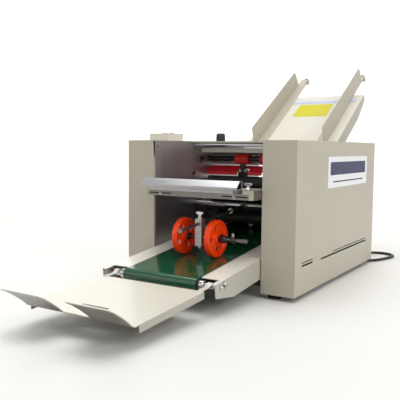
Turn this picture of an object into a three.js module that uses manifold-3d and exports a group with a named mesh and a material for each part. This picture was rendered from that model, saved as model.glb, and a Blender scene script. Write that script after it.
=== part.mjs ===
// Desktop paper folding machine, in millimetres, +Z up, the paper coming out towards -Y.
// Y = 0 is the housings' front faces while the pieces are built. The last lines centre the whole machine.
import * as THREE from "three";
import Module from "manifold-3d";
import { mergeVertices } from "three/addons/utils/BufferGeometryUtils.js";

const wasm = await Module();
wasm.setup();

// Driving sizes of the machine
const throatWidth = 260;
const housingWidth = 71.5;
const housingDepth = 499;
const housingTop = 310;
const footHeight = 10;
const coverSheet = 1.6;
const sidePlateThickness = 3;
const sidePlateSetback = 5;
const clearance = 0.3;
const overrun = 5;
const sink = 1;
const mergeDistance = 1e-4;

// Conveyor, tray and feed table
const railSlopeRise = 0.115;
const railHeightAtHousing = 78.7;
const railSideGap = 2.1;
const railWidth = 45.2;
const railFrontY = -168;
const railRearY = 262;
const railSheet = 1.6;
const beltRise = 1.5;
const beltEdgeGap = 1.7;
const beltThickness = 1.6;
const beltRollerRadius = 10.8;
const frontRollerY = -149;
const rearRollerY = 246;
const trayTiltDegrees = 4.06;
const traySideGap = 15;
const trayFront = -223;
const tableTiltDegrees = 33;
const tableSideGap = 3;
const tableTopY = 633.8;
const tableTopZ = 446.3;
const tableSheet = 1.5;

// Folding rollers, stacked one above the other behind the throat
const rollerCount = 4;
const rollerY = 200;
const topRollerZ = 214.5;
const rollerRadius = 13.8;
const rollerSideGap = 18;
const journalRadius = 5;
const rollerPitch = 2 * rollerRadius + clearance;
const gearTeeth = 20;
const pinionTeeth = 16;

const halfThroat = throatWidth / 2;
const railOuterHalf = halfThroat - railSideGap;
const railInnerHalf = railOuterHalf - railWidth;
const beltHalfWidth = railInnerHalf - beltEdgeGap;
const trayHalfWidth = halfThroat - traySideGap;
const tableHalfWidth = halfThroat - tableSideGap;
const rollerHalfLength = halfThroat - rollerSideGap;
const outerHalf = halfThroat + housingWidth;
const beltSlopeAngle = Math.atan(railSlopeRise);
const trayTilt = THREE.MathUtils.degToRad(trayTiltDegrees);
const tableTilt = THREE.MathUtils.degToRad(tableTiltDegrees);
const turn = 2 * Math.PI;
const sides = [["right", 1], ["left", -1]];

// Materials
function paint(color, roughness, metalness) {
  return new THREE.MeshStandardMaterial({ color, roughness, metalness });
}

const housingPaint = paint("#b6ae9f", 0.4, 0);
const creamPaint = paint("#e9e7db", 0.4, 0);
const blackPaint = paint("#1c1c1e", 0.5, 0.1);
const zincSteel = paint("#9a9a9c", 0.35, 0.9);
const chrome = paint("#c8c8cc", 0.15, 1);
const aluminium = paint("#c8c8ca", 0.35, 0.9);
const blackRubber = paint("#141414", 0.8, 0);
const blackPlastic = paint("#222224", 0.5, 0);
const palePlastic = paint("#e4e0d6", 0.5, 0);
const beltGreen = paint("#0f4a30", 0.3, 0);
const wheelOrange = paint("#f23a08", 0.45, 0);
const guideRed = paint("#b01c28", 0.45, 0);
const greenPlastic = paint("#2c8a4a", 0.5, 0);

// Shapes. A box's corners are set one by one, so that boxes that share a face share it exactly
function box(x0, x1, y0, y1, z0, z1) {
  const geometry = new THREE.BoxGeometry(1, 1, 1);
  const position = geometry.attributes.position;
  for (let i = 0; i < position.count; i += 1) {
    const x = position.getX(i) > 0 ? x1 : x0;
    const y = position.getY(i) > 0 ? y1 : y0;
    const z = position.getZ(i) > 0 ? z1 : z0;
    position.setXYZ(i, x, y, z);
  }
  return geometry;
}

// An outline of [y, z] points, extruded along X
function extrudeAlongX(points, x0, x1, holes = []) {
  const shape = new THREE.Shape(points.map(([y, z]) => new THREE.Vector2(y, z)));
  holes.forEach((hole) => shape.holes.push(new THREE.Path(hole.map(([y, z]) => new THREE.Vector2(y, z)))));
  const geometry = new THREE.ExtrudeGeometry(shape, { depth: 1, bevelEnabled: false, steps: 1 });
  geometry.rotateX(Math.PI / 2);
  geometry.rotateZ(Math.PI / 2);
  const position = geometry.attributes.position;
  for (let i = 0; i < position.count; i += 1) {
    position.setX(i, Math.round(position.getX(i)) === 1 ? x1 : x0);
  }
  return geometry;
}

// An outline of [x, y] points, extruded along Z
function extrudeAlongZ(points, z0, z1) {
  const shape = new THREE.Shape(points.map(([x, y]) => new THREE.Vector2(x, y)));
  const geometry = new THREE.ExtrudeGeometry(shape, { depth: z1 - z0, bevelEnabled: false, steps: 1 });
  return geometry.translate(0, 0, z0);
}

// A turned piece: [radius, distance] points, its axis along Z
function turned(profile, segments = 24) {
  const points = profile.map(([r, z]) => new THREE.Vector2(r, z));
  return new THREE.LatheGeometry(points, segments).rotateX(Math.PI / 2);
}

// A turned piece whose axis runs along +X
function turnedAlongX(profile, segments = 24) {
  return turned(profile, segments).rotateY(Math.PI / 2);
}

function cylinderAlongX(radius, x0, x1, y, z, segments = 20) {
  return turnedAlongX([[0, x0], [radius, x0], [radius, x1], [0, x1]], segments).translate(0, y, z);
}

function cylinderAlongZ(radius, z0, z1, x, y, segments = 20) {
  return turned([[0, z0], [radius, z0], [radius, z1], [0, z1]], segments).translate(x, y, 0);
}

// Points of an arc about a centre, from one angle to another
function arc(centreA, centreB, radius, from, to, steps) {
  const points = [];
  for (let i = 0; i <= steps; i += 1) {
    const angle = from + ((to - from) * i) / steps;
    points.push([centreA + radius * Math.cos(angle), centreB + radius * Math.sin(angle)]);
  }
  return points;
}

// The closed outline of a bent sheet: one face follows the points, the thickness lies to their left
function bentSheet(points, thickness) {
  const inner = [];
  for (let i = 0; i < points.length; i += 1) {
    const before = new THREE.Vector2(...points[Math.max(i - 1, 0)]);
    const here = new THREE.Vector2(...points[i]);
    const after = new THREE.Vector2(...points[Math.min(i + 1, points.length - 1)]);
    const first = here.clone().sub(before);
    const second = after.clone().sub(here);
    const inDirection = (i === 0 ? second : first).clone().normalize();
    const outDirection = (i === points.length - 1 ? first : second).clone().normalize();
    const along = inDirection.clone().add(outDirection);
    const normal = new THREE.Vector2(-along.y, along.x).normalize();
    const stretch = thickness / (normal.x * -inDirection.y + normal.y * inDirection.x);
    inner.unshift([here.x + normal.x * stretch, here.y + normal.y * stretch]);
  }
  return [...points, ...inner];
}

// Booleans on closed meshes
function toSolid(geometry) {
  const bare = geometry.clone();
  bare.deleteAttribute("normal");
  bare.deleteAttribute("uv");
  const merged = mergeVertices(bare, mergeDistance);
  return new wasm.Manifold(new wasm.Mesh({
    numProp: 3,
    vertProperties: new Float32Array(merged.attributes.position.array),
    triVerts: new Uint32Array(merged.index.array),
  }));
}

function toGeometry(solid) {
  const result = solid.getMesh();
  const geometry = new THREE.BufferGeometry();
  geometry.setAttribute("position", new THREE.BufferAttribute(new Float32Array(result.vertProperties), 3));
  geometry.setIndex(new THREE.BufferAttribute(new Uint32Array(result.triVerts), 1));
  geometry.computeVertexNormals();
  return geometry;
}

function join(...geometries) {
  return toGeometry(geometries.map(toSolid).reduce((sum, piece) => sum.add(piece)));
}

function cut(base, ...tools) {
  return toGeometry(tools.map(toSolid).reduce((rest, tool) => rest.subtract(tool), toSolid(base)));
}

// The other hand of a piece
function mirrored(geometry) {
  const copy = geometry.clone().scale(-1, 1, 1);
  const flat = copy.index ? copy.toNonIndexed() : copy;
  const position = flat.attributes.position;
  for (let i = 0; i < position.count; i += 3) {
    const a = new THREE.Vector3().fromBufferAttribute(position, i);
    const b = new THREE.Vector3().fromBufferAttribute(position, i + 1);
    position.setXYZ(i, b.x, b.y, b.z);
    position.setXYZ(i + 1, a.x, a.y, a.z);
  }
  flat.deleteAttribute("normal");
  flat.deleteAttribute("uv");
  const merged = mergeVertices(flat, mergeDistance);
  merged.computeVertexNormals();
  return merged;
}

function handed(geometry, side) {
  return side > 0 ? geometry : mirrored(geometry);
}

const machine = new THREE.Group();

function add(name, geometry, material, group = machine) {
  const mesh = new THREE.Mesh(geometry, material);
  mesh.name = name;
  group.add(mesh);
  return mesh;
}

// Heights and places that several pieces share
const railZ = (y) => railHeightAtHousing + railSlopeRise * y;
const beltZ = (y) => railZ(y) + beltRise;
const beltWrapRadius = beltRollerRadius + beltThickness;
const rollerAxisZ = (y) => beltZ(y) - beltWrapRadius / Math.cos(beltSlopeAngle);
const sidePlateTop = housingTop - coverSheet - clearance;
const sidePlateBottom = footHeight + clearance + coverSheet;
const sidePlateRearY = housingDepth - sidePlateSetback;
const plateOuter = halfThroat + sidePlateThickness;
const journalReach = plateOuter + sidePlateThickness;
const wallFace = halfThroat - clearance;
const footInset = 27.5;
const footY = [footInset, housingDepth - footInset];

// Cross rod that carries the press arm, and the arm's own sizes
const crossRodRadius = 6;
const crossRodY = 163;
const crossRodZ = 164.6;
const pressRodRadius = 3.25;
const pressRodX = 6;
const pressRodFrontY = -96;
const wheelRadius = 37.5;
const wheelAxisY = -28;
const wheelAxisZ = beltZ(wheelAxisY) + wheelRadius / Math.cos(beltSlopeAngle) + clearance;
const pressAxleRadius = 4;

// Feed shaft with its rubber hubs
const feedShaftRadius = 6.5;
const feedShaftY = 225;
const feedShaftZ = 269;
const feedHubRadius = 12.6;
const feedHubX = 33;
const feedHubWidth = 36;

// Gear train and drive
const gearModule = rollerPitch / gearTeeth;
const gearPitchRadius = rollerPitch / 2;
const pinionPitchRadius = (gearModule * pinionTeeth) / 2;
const gearWidth = 7;
const gearFace = plateOuter + 4 * clearance;
const motorAngle = -Math.PI / gearTeeth;
const motorAxisY = rollerY + (gearPitchRadius + pinionPitchRadius) * Math.cos(motorAngle);
const bottomRollerZ = topRollerZ - (rollerCount - 1) * rollerPitch;
const motorAxisZ = bottomRollerZ + (gearPitchRadius + pinionPitchRadius) * Math.sin(motorAngle);

// Side plates: zinc plated steel with a foot flange, bored for the shafts, slotted for the settings
const footFlangeWidth = 58;
const smallHoleRadius = 2.5;
const smallHoleY = 13;
const smallHoleZ = 296;
const slotHalfWidth = 3.2;
const slotLength = 20;
const slotTiltDegrees = 62;
const slotPlaces = [[192, 267], [157, 235]];
const railPadRadius = 9;
const railPadY = [50, 205];
const railPadDrop = 20;

function obround(y, z, halfWidth, length, tilt) {
  const half = length / 2 - halfWidth;
  const a = [y + half * Math.cos(tilt), z + half * Math.sin(tilt)];
  const b = [y - half * Math.cos(tilt), z - half * Math.sin(tilt)];
  const first = arc(a[0], a[1], halfWidth, tilt - Math.PI / 2, tilt + Math.PI / 2, 5);
  const second = arc(b[0], b[1], halfWidth, tilt + Math.PI / 2, tilt + 1.5 * Math.PI, 5);
  return [...first, ...second];
}

function sidePlate(side) {
  const bores = [];
  const bore = (y, z, radius) => {
    bores.push(cylinderAlongX(radius, halfThroat - overrun, plateOuter + overrun, y, z, 14));
  };
  for (let i = 0; i < rollerCount; i += 1) {
    bore(rollerY, topRollerZ - i * rollerPitch, journalRadius + clearance);
  }
  bore(feedShaftY, feedShaftZ, feedShaftRadius + clearance);
  bore(smallHoleY, smallHoleZ, smallHoleRadius);
  slotPlaces.forEach(([y, z]) => {
    const outline = obround(y, z, slotHalfWidth, slotLength, THREE.MathUtils.degToRad(slotTiltDegrees));
    bores.push(extrudeAlongX(outline, halfThroat - overrun, plateOuter + overrun));
  });
  const wall = box(halfThroat, plateOuter, sidePlateSetback, sidePlateRearY, sidePlateBottom, sidePlateTop);
  const flangeTop = sidePlateBottom + sidePlateThickness;
  const flangeEnd = halfThroat + footFlangeWidth;
  const flange = box(halfThroat, flangeEnd, sidePlateSetback, sidePlateRearY, sidePlateBottom, flangeTop);
  const pads = railPadY.map((y) => {
    const z = railZ(y) - railPadDrop;
    return cylinderAlongX(railPadRadius, railOuterHalf + clearance, plateOuter, y, z, 16);
  });
  return handed(cut(join(wall, flange, ...pads), ...bores), side);
}

sides.forEach(([name, side]) => add(`${name}_side_plate`, sidePlate(side), zincSteel));

// Housing covers: folded sheet, open towards the side plate and below
const hemDepth = sidePlateSetback - clearance;
const ventPlaces = [[34, 90, 72.5, 2], [34, 90, 66.5, 3.6], [208, 445, 71.5, 2], [136, 445, 65.5, 3.6]];
const coverLean = 3.5;
const coverLeanDrop = 60;
const cordOutletFromThroat = 20;
const cordOutletX = halfThroat + cordOutletFromThroat;
const cordOutletZ = 27;
const glandStemRadius = 7;
const switchFromThroat = 38;
const switchX = halfThroat + switchFromThroat;
const switchZ = 84;
const switchWidth = 22;
const switchHeight = 30;
const switchDepth = 16;

function coverShell() {
  const outer = box(halfThroat, outerHalf, 0, housingDepth, footHeight, housingTop);
  const inner = box(
    halfThroat - overrun, outerHalf - coverSheet, coverSheet, housingDepth - coverSheet,
    footHeight - overrun, housingTop - coverSheet);
  const hemZ = housingTop - coverSheet / 2;
  const hemX = halfThroat + coverSheet;
  const hemRear = housingDepth - coverSheet / 2;
  const frontHem = box(halfThroat, hemX, coverSheet / 2, hemDepth, footHeight, hemZ);
  const rearHem = box(halfThroat, hemX, housingDepth - hemDepth, hemRear, footHeight, hemZ);
  return join(cut(outer, inner), frontHem, rearHem);
}

function rightCover() {
  const vents = ventPlaces.map(([y0, y1, z, height]) => box(
    outerHalf - coverSheet - overrun, outerHalf + overrun, y0, y1, z - height / 2, z + height / 2));
  const rear0 = housingDepth - coverSheet - overrun;
  const rear1 = housingDepth + overrun;
  const outlet = turned([[0, rear0], [glandStemRadius, rear0], [glandStemRadius, rear1], [0, rear1]], 16)
    .rotateX(-Math.PI / 2).translate(cordOutletX, 0, cordOutletZ);
  const opening = box(
    switchX - switchWidth / 2 - clearance, switchX + switchWidth / 2 + clearance, rear0, rear1,
    switchZ - switchHeight / 2 - clearance, switchZ + switchHeight / 2 + clearance);
  return cut(coverShell(), ...vents, outlet, opening);
}

// The left cover's front inner edge stands a little away from its plate at the top
function leftCover() {
  const leanPoints = [
    [-halfThroat + overrun, housingTop + overrun], [-halfThroat + overrun, housingTop - coverLeanDrop],
    [-halfThroat, housingTop - coverLeanDrop], [-halfThroat - coverLean, housingTop - coverSheet],
    [-halfThroat - coverLean, housingTop + overrun],
  ];
  const wedge = extrudeAlongZ(leanPoints, 0, hemDepth + overrun).rotateX(Math.PI / 2);
  return cut(mirrored(coverShell()), wedge.translate(0, hemDepth + clearance, 0));
}

add("right_cover", rightCover(), housingPaint);
add("left_cover", leftCover(), housingPaint);

// Feet: tapered rubber under the side plates' flanges
const footFromPlate = 19;
const footX = halfThroat + footFromPlate;
const footTopRadius = 17;
const footBottomRadius = 14.5;

footY.forEach((y, row) => sides.forEach(([name, side]) => {
  const top = sidePlateBottom - clearance;
  const profile = [[0, 0], [footBottomRadius, 0], [footTopRadius, top], [0, top]];
  const place = row === 0 ? "front" : "rear";
  add(`foot_${place}_${name}`, turned(profile, 20).translate(side * footX, y, 0), blackRubber);
}));

// Base channels that tie the two side plates together
const channelSheet = 2;
const channelWidth = 30;
const channelTop = 36;
const channelHeight = 13;
const channelInset = 7;
const channelFrontY = [channelInset, housingDepth - channelInset - channelWidth];

channelFrontY.forEach((y, row) => {
  const bottom = channelTop - channelHeight;
  const outer = box(-wallFace, wallFace, y, y + channelWidth, bottom, channelTop);
  const inner = box(
    -wallFace - overrun, wallFace + overrun, y + channelSheet, y + channelWidth - channelSheet,
    bottom - overrun, channelTop - channelSheet);
  add(row === 0 ? "base_channel_front" : "base_channel_rear", cut(outer, inner), blackPaint);
});

// Top cover between the housings, with a front lip and two side flanges
const topCoverFrontY = 150;
const topCoverRearY = 395;
const topCoverLip = 4;
const topFlangeFrontY = 178;
const topFlangeDepth = 12;
const topKnobX = -76;
const topKnobY = 190;
const topKnobRadius = 11;
const topKnobHeight = 18.5;
const topKnobStemRadius = 3;

function topCover() {
  const top = housingTop;
  const bottom = top - coverSheet;
  const inside = top - coverSheet / 2;
  const deck = box(-wallFace, wallFace, topCoverFrontY, topCoverRearY, bottom, top);
  const lipRear = topCoverFrontY + coverSheet;
  const lip = box(-wallFace, wallFace, topCoverFrontY, lipRear, top - topCoverLip, inside);
  const flange = (x0, x1) => box(x0, x1, topFlangeFrontY, topCoverRearY, top - topFlangeDepth, inside);
  const left = flange(-wallFace, -wallFace + coverSheet);
  const right = flange(wallFace - coverSheet, wallFace);
  const holeRadius = topKnobStemRadius + clearance;
  const hole = cylinderAlongZ(holeRadius, bottom - overrun, top + overrun, topKnobX, topKnobY, 12);
  return cut(join(deck, lip, left, right), hole);
}

add("top_cover", topCover(), housingPaint);

// Fluted knob on the top cover that sets the feed pressure
const knobFluteCount = 12;
const knobFluteDepth = 0.7;
const knobChamferShare = 0.2;

function flutedOutline(radius, depth, count) {
  const points = [];
  for (let i = 0; i < 2 * count; i += 1) {
    const angle = (turn * i) / (2 * count);
    const r = i % 2 === 0 ? radius : radius - depth;
    points.push([r * Math.cos(angle), r * Math.sin(angle)]);
  }
  return points;
}

// A fluted knob that stands on z = 0, with a chamfered top and a stem below
function flutedKnob(radius, height, stemRadius, stemLength) {
  const chamfer = radius * knobChamferShare;
  const body = extrudeAlongZ(flutedOutline(radius, knobFluteDepth, knobFluteCount), 0, height - chamfer);
  const cap = cylinderAlongZ(radius - chamfer, height - 2 * chamfer, height, 0, 0, 2 * knobFluteCount);
  const stem = cylinderAlongZ(stemRadius, -stemLength, chamfer, 0, 0, 12);
  return join(body, cap, stem);
}

const topKnobStem = 11;
const topKnobGeometry = flutedKnob(topKnobRadius, topKnobHeight, topKnobStemRadius, topKnobStem);
add("top_knob", topKnobGeometry.translate(topKnobX, topKnobY, housingTop + clearance), blackPlastic);

// Tie rod and crossbar under the top cover
const tieRodRadius = 5.5;
const tieRodY = 160;
const tieRodZ = 302;
const crossbarY = 192;
const crossbarDepth = 10;
const crossbarBottom = 284;
const crossbarHeight = 10;

const crossbarTop = crossbarBottom + crossbarHeight;

add("top_tie_rod", cylinderAlongX(tieRodRadius, -wallFace, wallFace, tieRodY, tieRodZ), chrome);
const upperCrossbar = box(
  -wallFace, wallFace, crossbarY, crossbarY + crossbarDepth, crossbarBottom, crossbarTop);
add("upper_crossbar", upperCrossbar, housingPaint);
add("cross_rod", cylinderAlongX(crossRodRadius, -wallFace, wallFace, crossRodY, crossRodZ, 24), chrome);

// Control box on the left housing, with two push buttons
const controlFromThroat = [65, 12];
const controlX = controlFromThroat.map((x) => -halfThroat - x);
const controlY = [70, 128];
const controlHeight = 16;
const controlWall = 2;
const buttonRadius = 6;
const buttonRise = 2;
const buttonStem = 3;
const buttonY = 99;
const buttonPlaces = [["start_button", 24, greenPlastic], ["stop_button", 42, guideRed]]
  .map(([name, fromThroat, material]) => [name, -halfThroat - fromThroat, material]);

function controlBox() {
  const bottom = housingTop + clearance;
  const top = bottom + controlHeight;
  const wall = controlWall;
  const outer = box(controlX[0], controlX[1], controlY[0], controlY[1], bottom, top);
  const hollow = box(
    controlX[0] + wall, controlX[1] - wall, controlY[0] + wall, controlY[1] - wall,
    bottom - overrun, top - wall);
  const wells = buttonPlaces.map(([, x]) => cylinderAlongZ(
    buttonRadius + clearance, top - controlWall - overrun, top + overrun, x, buttonY, 20));
  return cut(outer, hollow, ...wells);
}

add("control_box", controlBox(), palePlastic);
buttonPlaces.forEach(([name, x, material]) => {
  const top = housingTop + clearance + controlHeight;
  add(name, cylinderAlongZ(buttonRadius, top - buttonStem, top + buttonRise, x, buttonY), material);
});

// Power switch on the right housing's rear wall
const rockerPlay = 1;

function powerSwitch() {
  const half = switchHeight / 2 - rockerPlay;
  const rocker = [
    [-switchDepth, -half], [clearance, -half], [coverSheet, -half], [coverSheet, 0],
    [coverSheet * 2, half], [clearance, half], [-switchDepth, half],
  ];
  return extrudeAlongX(rocker, -switchWidth / 2, switchWidth / 2);
}

add("power_switch", powerSwitch().translate(switchX, housingDepth, switchZ), blackPlastic);

// Feed shaft and its two rubber hubs
function ring(outerRadius, innerRadius, x0, x1, segments) {
  const outer = [[outerRadius, x0], [outerRadius, x1]];
  return turnedAlongX([[innerRadius, x0], ...outer, [innerRadius, x1], [innerRadius, x0]], segments);
}

const feedShaft = cylinderAlongX(feedShaftRadius, -journalReach, journalReach, feedShaftY, feedShaftZ, 24);
add("feed_shaft", feedShaft, blackPaint);
sides.forEach(([name, side]) => {
  const hub = ring(feedHubRadius, feedShaftRadius + clearance, -feedHubWidth / 2, feedHubWidth / 2, 24);
  add(`feed_hub_${name}`, hub.translate(side * feedHubX, feedShaftY, feedShaftZ), guideRed);
});

// Guide rod behind the feed shaft
const guideRodRadius = 3;
const guideRodY = 247;
const guideRodZ = 280;

add("guide_rod", cylinderAlongX(guideRodRadius, -wallFace, wallFace, guideRodY, guideRodZ, 12), chrome);

// Separator: a black bar across the throat, with a bracket and pad below each hub
const separatorY = 222.5;
const separatorSheet = 3;
const separatorBottom = 214;
const separatorBarHeight = 8;
const separatorTop = 243;
const separatorWidth = 26;
const padWidth = 16;
const padTop = feedShaftZ - feedHubRadius - clearance;

function separator() {
  const front = separatorY;
  const rear = separatorY + separatorSheet;
  const bar = box(-wallFace, wallFace, front, rear, separatorBottom, separatorBottom + separatorBarHeight);
  const pieces = sides.flatMap(([, side]) => {
    const x = side * feedHubX;
    return [
      box(x - separatorWidth / 2, x + separatorWidth / 2, front, rear, separatorBottom, separatorTop),
      box(x - padWidth / 2, x + padWidth / 2, front, rear, separatorBottom, padTop),
    ];
  });
  return join(bar, ...pieces);
}

add("separator_bar", separator(), blackPaint);

// Red bent guide below the feed hubs, notched round the separator's brackets
const redGuideSheet = 1.5;
const redGuidePoints = [[242, 252], [223, 238], [220, 237], [219.5, 230]];
const redNotchHalf = separatorWidth / 2 + 1.5;
const redNotchRearY = 234;

function redGuide() {
  const sheet = extrudeAlongX(bentSheet(redGuidePoints, redGuideSheet), -wallFace, wallFace);
  const notches = sides.map(([, side]) => {
    const x = side * feedHubX;
    return box(
      x - redNotchHalf, x + redNotchHalf, separatorY - overrun, redNotchRearY,
      separatorBottom, redGuidePoints[0][1] + overrun);
  });
  return cut(sheet, ...notches);
}

add("red_guide_plate", redGuide(), guideRed);

// Each gear tooth as shares of one pitch: foot, tip, tip, foot
const gearToothShares = [[-0.3, -1], [-0.11, 1], [0.11, 1], [0.3, -1]];
const addendumShare = 0.6;
const dedendumShare = 0.9;

// Folding rollers: steel journals, a rubber covered barrel and a gear on the right end
function gearOutline(teeth, pitchRadius) {
  const addendum = gearModule * addendumShare;
  const dedendum = gearModule * dedendumShare;
  const points = [];
  for (let i = 0; i < teeth; i += 1) {
    gearToothShares.forEach(([angleShare, level]) => {
      const angle = (turn * (i + angleShare)) / teeth;
      const radius = pitchRadius + (level > 0 ? addendum : -dedendum);
      points.push([radius * Math.cos(angle), radius * Math.sin(angle)]);
    });
  }
  return points;
}

function foldRoller(phase) {
  const barrelEnd = rollerHalfLength;
  const gearEnd = gearFace + gearWidth;
  const shaftEnd = gearEnd + clearance;
  const body = turnedAlongX([
    [0, -journalReach], [journalRadius, -journalReach], [journalRadius, -barrelEnd],
    [rollerRadius, -barrelEnd], [rollerRadius, barrelEnd], [journalRadius, barrelEnd],
    [journalRadius, shaftEnd], [0, shaftEnd],
  ], 24);
  const outline = gearOutline(gearTeeth, gearPitchRadius);
  const gear = extrudeAlongX(outline, gearFace, gearEnd).rotateX(phase);
  return join(body, gear);
}

for (let i = 0; i < rollerCount; i += 1) {
  const phase = i % 2 === 0 ? 0 : Math.PI / gearTeeth;
  const roller = foldRoller(phase).translate(0, rollerY, topRollerZ - i * rollerPitch);
  add(`fold_roller_${i + 1}`, roller, blackRubber);
}

// Drive motor on standoffs in the right housing, with its pinion in mesh with the lowest roller's gear
const motorRadius = 28;
const motorLength = 40;
const motorShaftRadius = 3;
const standoffRadius = 4;
const standoffCount = 3;
const standoffEdge = 1;
const standoffCircle = motorRadius - standoffRadius - standoffEdge;
const pinionBore = motorShaftRadius + clearance / 2;
const pinionToMotor = 3;
const motorFace = gearFace + gearWidth + pinionToMotor;

function driveMotor() {
  const rear = motorFace + motorLength;
  const body = cylinderAlongX(motorRadius, motorFace, rear, 0, 0, 28);
  const shaft = cylinderAlongX(motorShaftRadius, gearFace, motorFace + overrun, 0, 0, 12);
  const legs = [];
  for (let i = 0; i < standoffCount; i += 1) {
    const angle = motorAngle + (turn * i) / standoffCount;
    const y = standoffCircle * Math.cos(angle);
    const z = standoffCircle * Math.sin(angle);
    legs.push(cylinderAlongX(standoffRadius, plateOuter + clearance, motorFace + overrun, y, z, 12));
  }
  return join(body, shaft, ...legs);
}

function motorPinion() {
  const outline = gearOutline(pinionTeeth, pinionPitchRadius);
  const gear = extrudeAlongX(outline, gearFace, gearFace + gearWidth);
  const bore = cylinderAlongX(pinionBore, gearFace - overrun, gearFace + gearWidth + overrun, 0, 0, 16);
  const pitch = turn / pinionTeeth;
  const gapAngle = Math.PI + motorAngle;
  return cut(gear, bore).rotateX(gapAngle - pitch / 2);
}

add("drive_motor", driveMotor().translate(0, motorAxisY, motorAxisZ), zincSteel);
add("motor_pinion", motorPinion().translate(0, motorAxisY, motorAxisZ), zincSteel);

// Conveyor: everything lies in one tilted frame whose origin is the front roller's axis
const conveyor = new THREE.Group();
conveyor.position.set(0, frontRollerY, rollerAxisZ(frontRollerY));
conveyor.rotation.x = beltSlopeAngle;
machine.add(conveyor);

const slopeLength = (y) => (y - frontRollerY) / Math.cos(beltSlopeAngle);
const rollerSpan = slopeLength(rearRollerY);
const railTop = beltWrapRadius - beltRise * Math.cos(beltSlopeAngle);
const railFront = slopeLength(railFrontY);
const railRear = slopeLength(railRearY);
const railKinkY = -107;
const railNotchY = -141;
const railKink = slopeLength(railKinkY);
const railNotch = slopeLength(railNotchY);
const railFrontDrop = 25;
const railFullDrop = 41;
const railLip = 8;
const axleRadius = 5;
const axleHoleRadius = axleRadius + clearance;
const rollerBore = axleRadius + clearance;
const rearShaftRadius = 5;
const rearHoleRadius = rearShaftRadius + clearance;

function conveyorRail(side) {
  const flangeOutline = [
    [railFront, railTop], [railFront, railTop - railFrontDrop], [railKink, railTop - railFullDrop],
    [railRear, railTop - railFullDrop], [railRear, railTop],
  ];
  const flange = extrudeAlongX(flangeOutline, railOuterHalf - railSheet, railOuterHalf);
  const deck = box(railInnerHalf, railOuterHalf, railNotch, railRear, railTop - railSheet, railTop);
  const lipRear = railNotch + overrun;
  const lip = box(railOuterHalf - railLip, railOuterHalf, railFront, lipRear, railTop - railSheet, railTop);
  const reach = railOuterHalf + overrun;
  const frontHole = cylinderAlongX(axleHoleRadius, railInnerHalf, reach, 0, 0, 16);
  const rearHole = cylinderAlongX(rearHoleRadius, railInnerHalf, reach, rollerSpan, 0, 16);
  return handed(cut(join(flange, deck, lip), frontHole, rearHole), side);
}

sides.forEach(([name, side]) => add(`conveyor_rail_${name}`, conveyorRail(side), creamPaint, conveyor));

// The endless belt round both rollers
function beltLoop(radius) {
  const front = arc(0, 0, radius, Math.PI / 2, 1.5 * Math.PI, 12);
  const rear = arc(rollerSpan, 0, radius, -Math.PI / 2, Math.PI / 2, 12);
  return [...front, ...rear];
}

const beltInner = beltWrapRadius - beltThickness;
const beltHole = beltLoop(beltInner).reverse();
const conveyorBelt = extrudeAlongX(beltLoop(beltWrapRadius), -beltHalfWidth, beltHalfWidth, [beltHole]);
add("conveyor_belt", conveyorBelt, beltGreen, conveyor);

// Slider bed under the belt's upper run, carried by the rails
const bedSheet = 1.2;
const bedMargin = 16;
const bedTop = beltInner - clearance;
const bedTabFront = 60;
const bedTabRear = 90;
const bedTabY = [bedTabFront, rollerSpan - bedTabRear];
const bedTabLength = 26;
const bedTabReach = 14;
const bedTabHalf = railInnerHalf + bedTabReach;

function conveyorBed() {
  const bedBottom = bedTop - bedSheet;
  const plate = box(-beltHalfWidth, beltHalfWidth, bedMargin, rollerSpan - bedMargin, bedBottom, bedTop);
  const tabTop = railTop - railSheet - clearance;
  const tabs = bedTabY.flatMap((y) => sides.map(([, side]) => {
    const foot = [
      [beltHalfWidth - overrun, bedBottom], [beltHalfWidth - overrun, bedBottom - bedSheet - clearance],
      [bedTabHalf, tabTop - bedSheet - clearance], [bedTabHalf, tabTop - clearance],
      [railInnerHalf, tabTop - clearance], [beltHalfWidth, bedBottom],
    ].map(([x, z]) => [side * x, z]);
    return extrudeAlongZ(side > 0 ? foot : foot.reverse(), -bedTabLength / 2, bedTabLength / 2)
      .rotateX(Math.PI / 2).translate(0, y, 0);
  }));
  return join(plate, ...tabs);
}

add("conveyor_bed", conveyorBed(), zincSteel, conveyor);

// Front roller turns on a fixed axle between the rails
const rollerOverhang = 4;
const rollerEnd = beltHalfWidth + rollerOverhang;
const collarLength = 9;
const collarRadius = 9;
const axleOverhang = 3;

function frontRoller() {
  return ring(beltRollerRadius - clearance, rollerBore, -rollerEnd, rollerEnd, 24);
}

function frontAxle() {
  const end = railOuterHalf + axleOverhang;
  const collar0 = rollerEnd + clearance;
  const collar1 = collar0 + collarLength;
  return turnedAlongX([
    [0, -end], [axleRadius, -end], [axleRadius, -collar1], [collarRadius, -collar1],
    [collarRadius, -collar0], [axleRadius, -collar0], [axleRadius, collar0], [collarRadius, collar0],
    [collarRadius, collar1], [axleRadius, collar1], [axleRadius, end], [0, end],
  ], 16);
}

function rearRoller() {
  const end = railOuterHalf + clearance;
  const radius = beltRollerRadius - clearance;
  return turnedAlongX([
    [0, -end], [rearShaftRadius, -end], [rearShaftRadius, -beltHalfWidth], [radius, -beltHalfWidth],
    [radius, beltHalfWidth], [rearShaftRadius, beltHalfWidth], [rearShaftRadius, end], [0, end],
  ], 24);
}

add("front_roller", frontRoller(), blackRubber, conveyor);
add("front_axle", frontAxle(), chrome, conveyor);
add("rear_roller", rearRoller().translate(0, rollerSpan, 0), blackRubber, conveyor);

// Receiving tray, hung by two hooks on the front axle
const tray = new THREE.Group();
tray.position.set(0, frontRollerY, rollerAxisZ(frontRollerY));
tray.rotation.x = trayTilt;
machine.add(tray);

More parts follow.
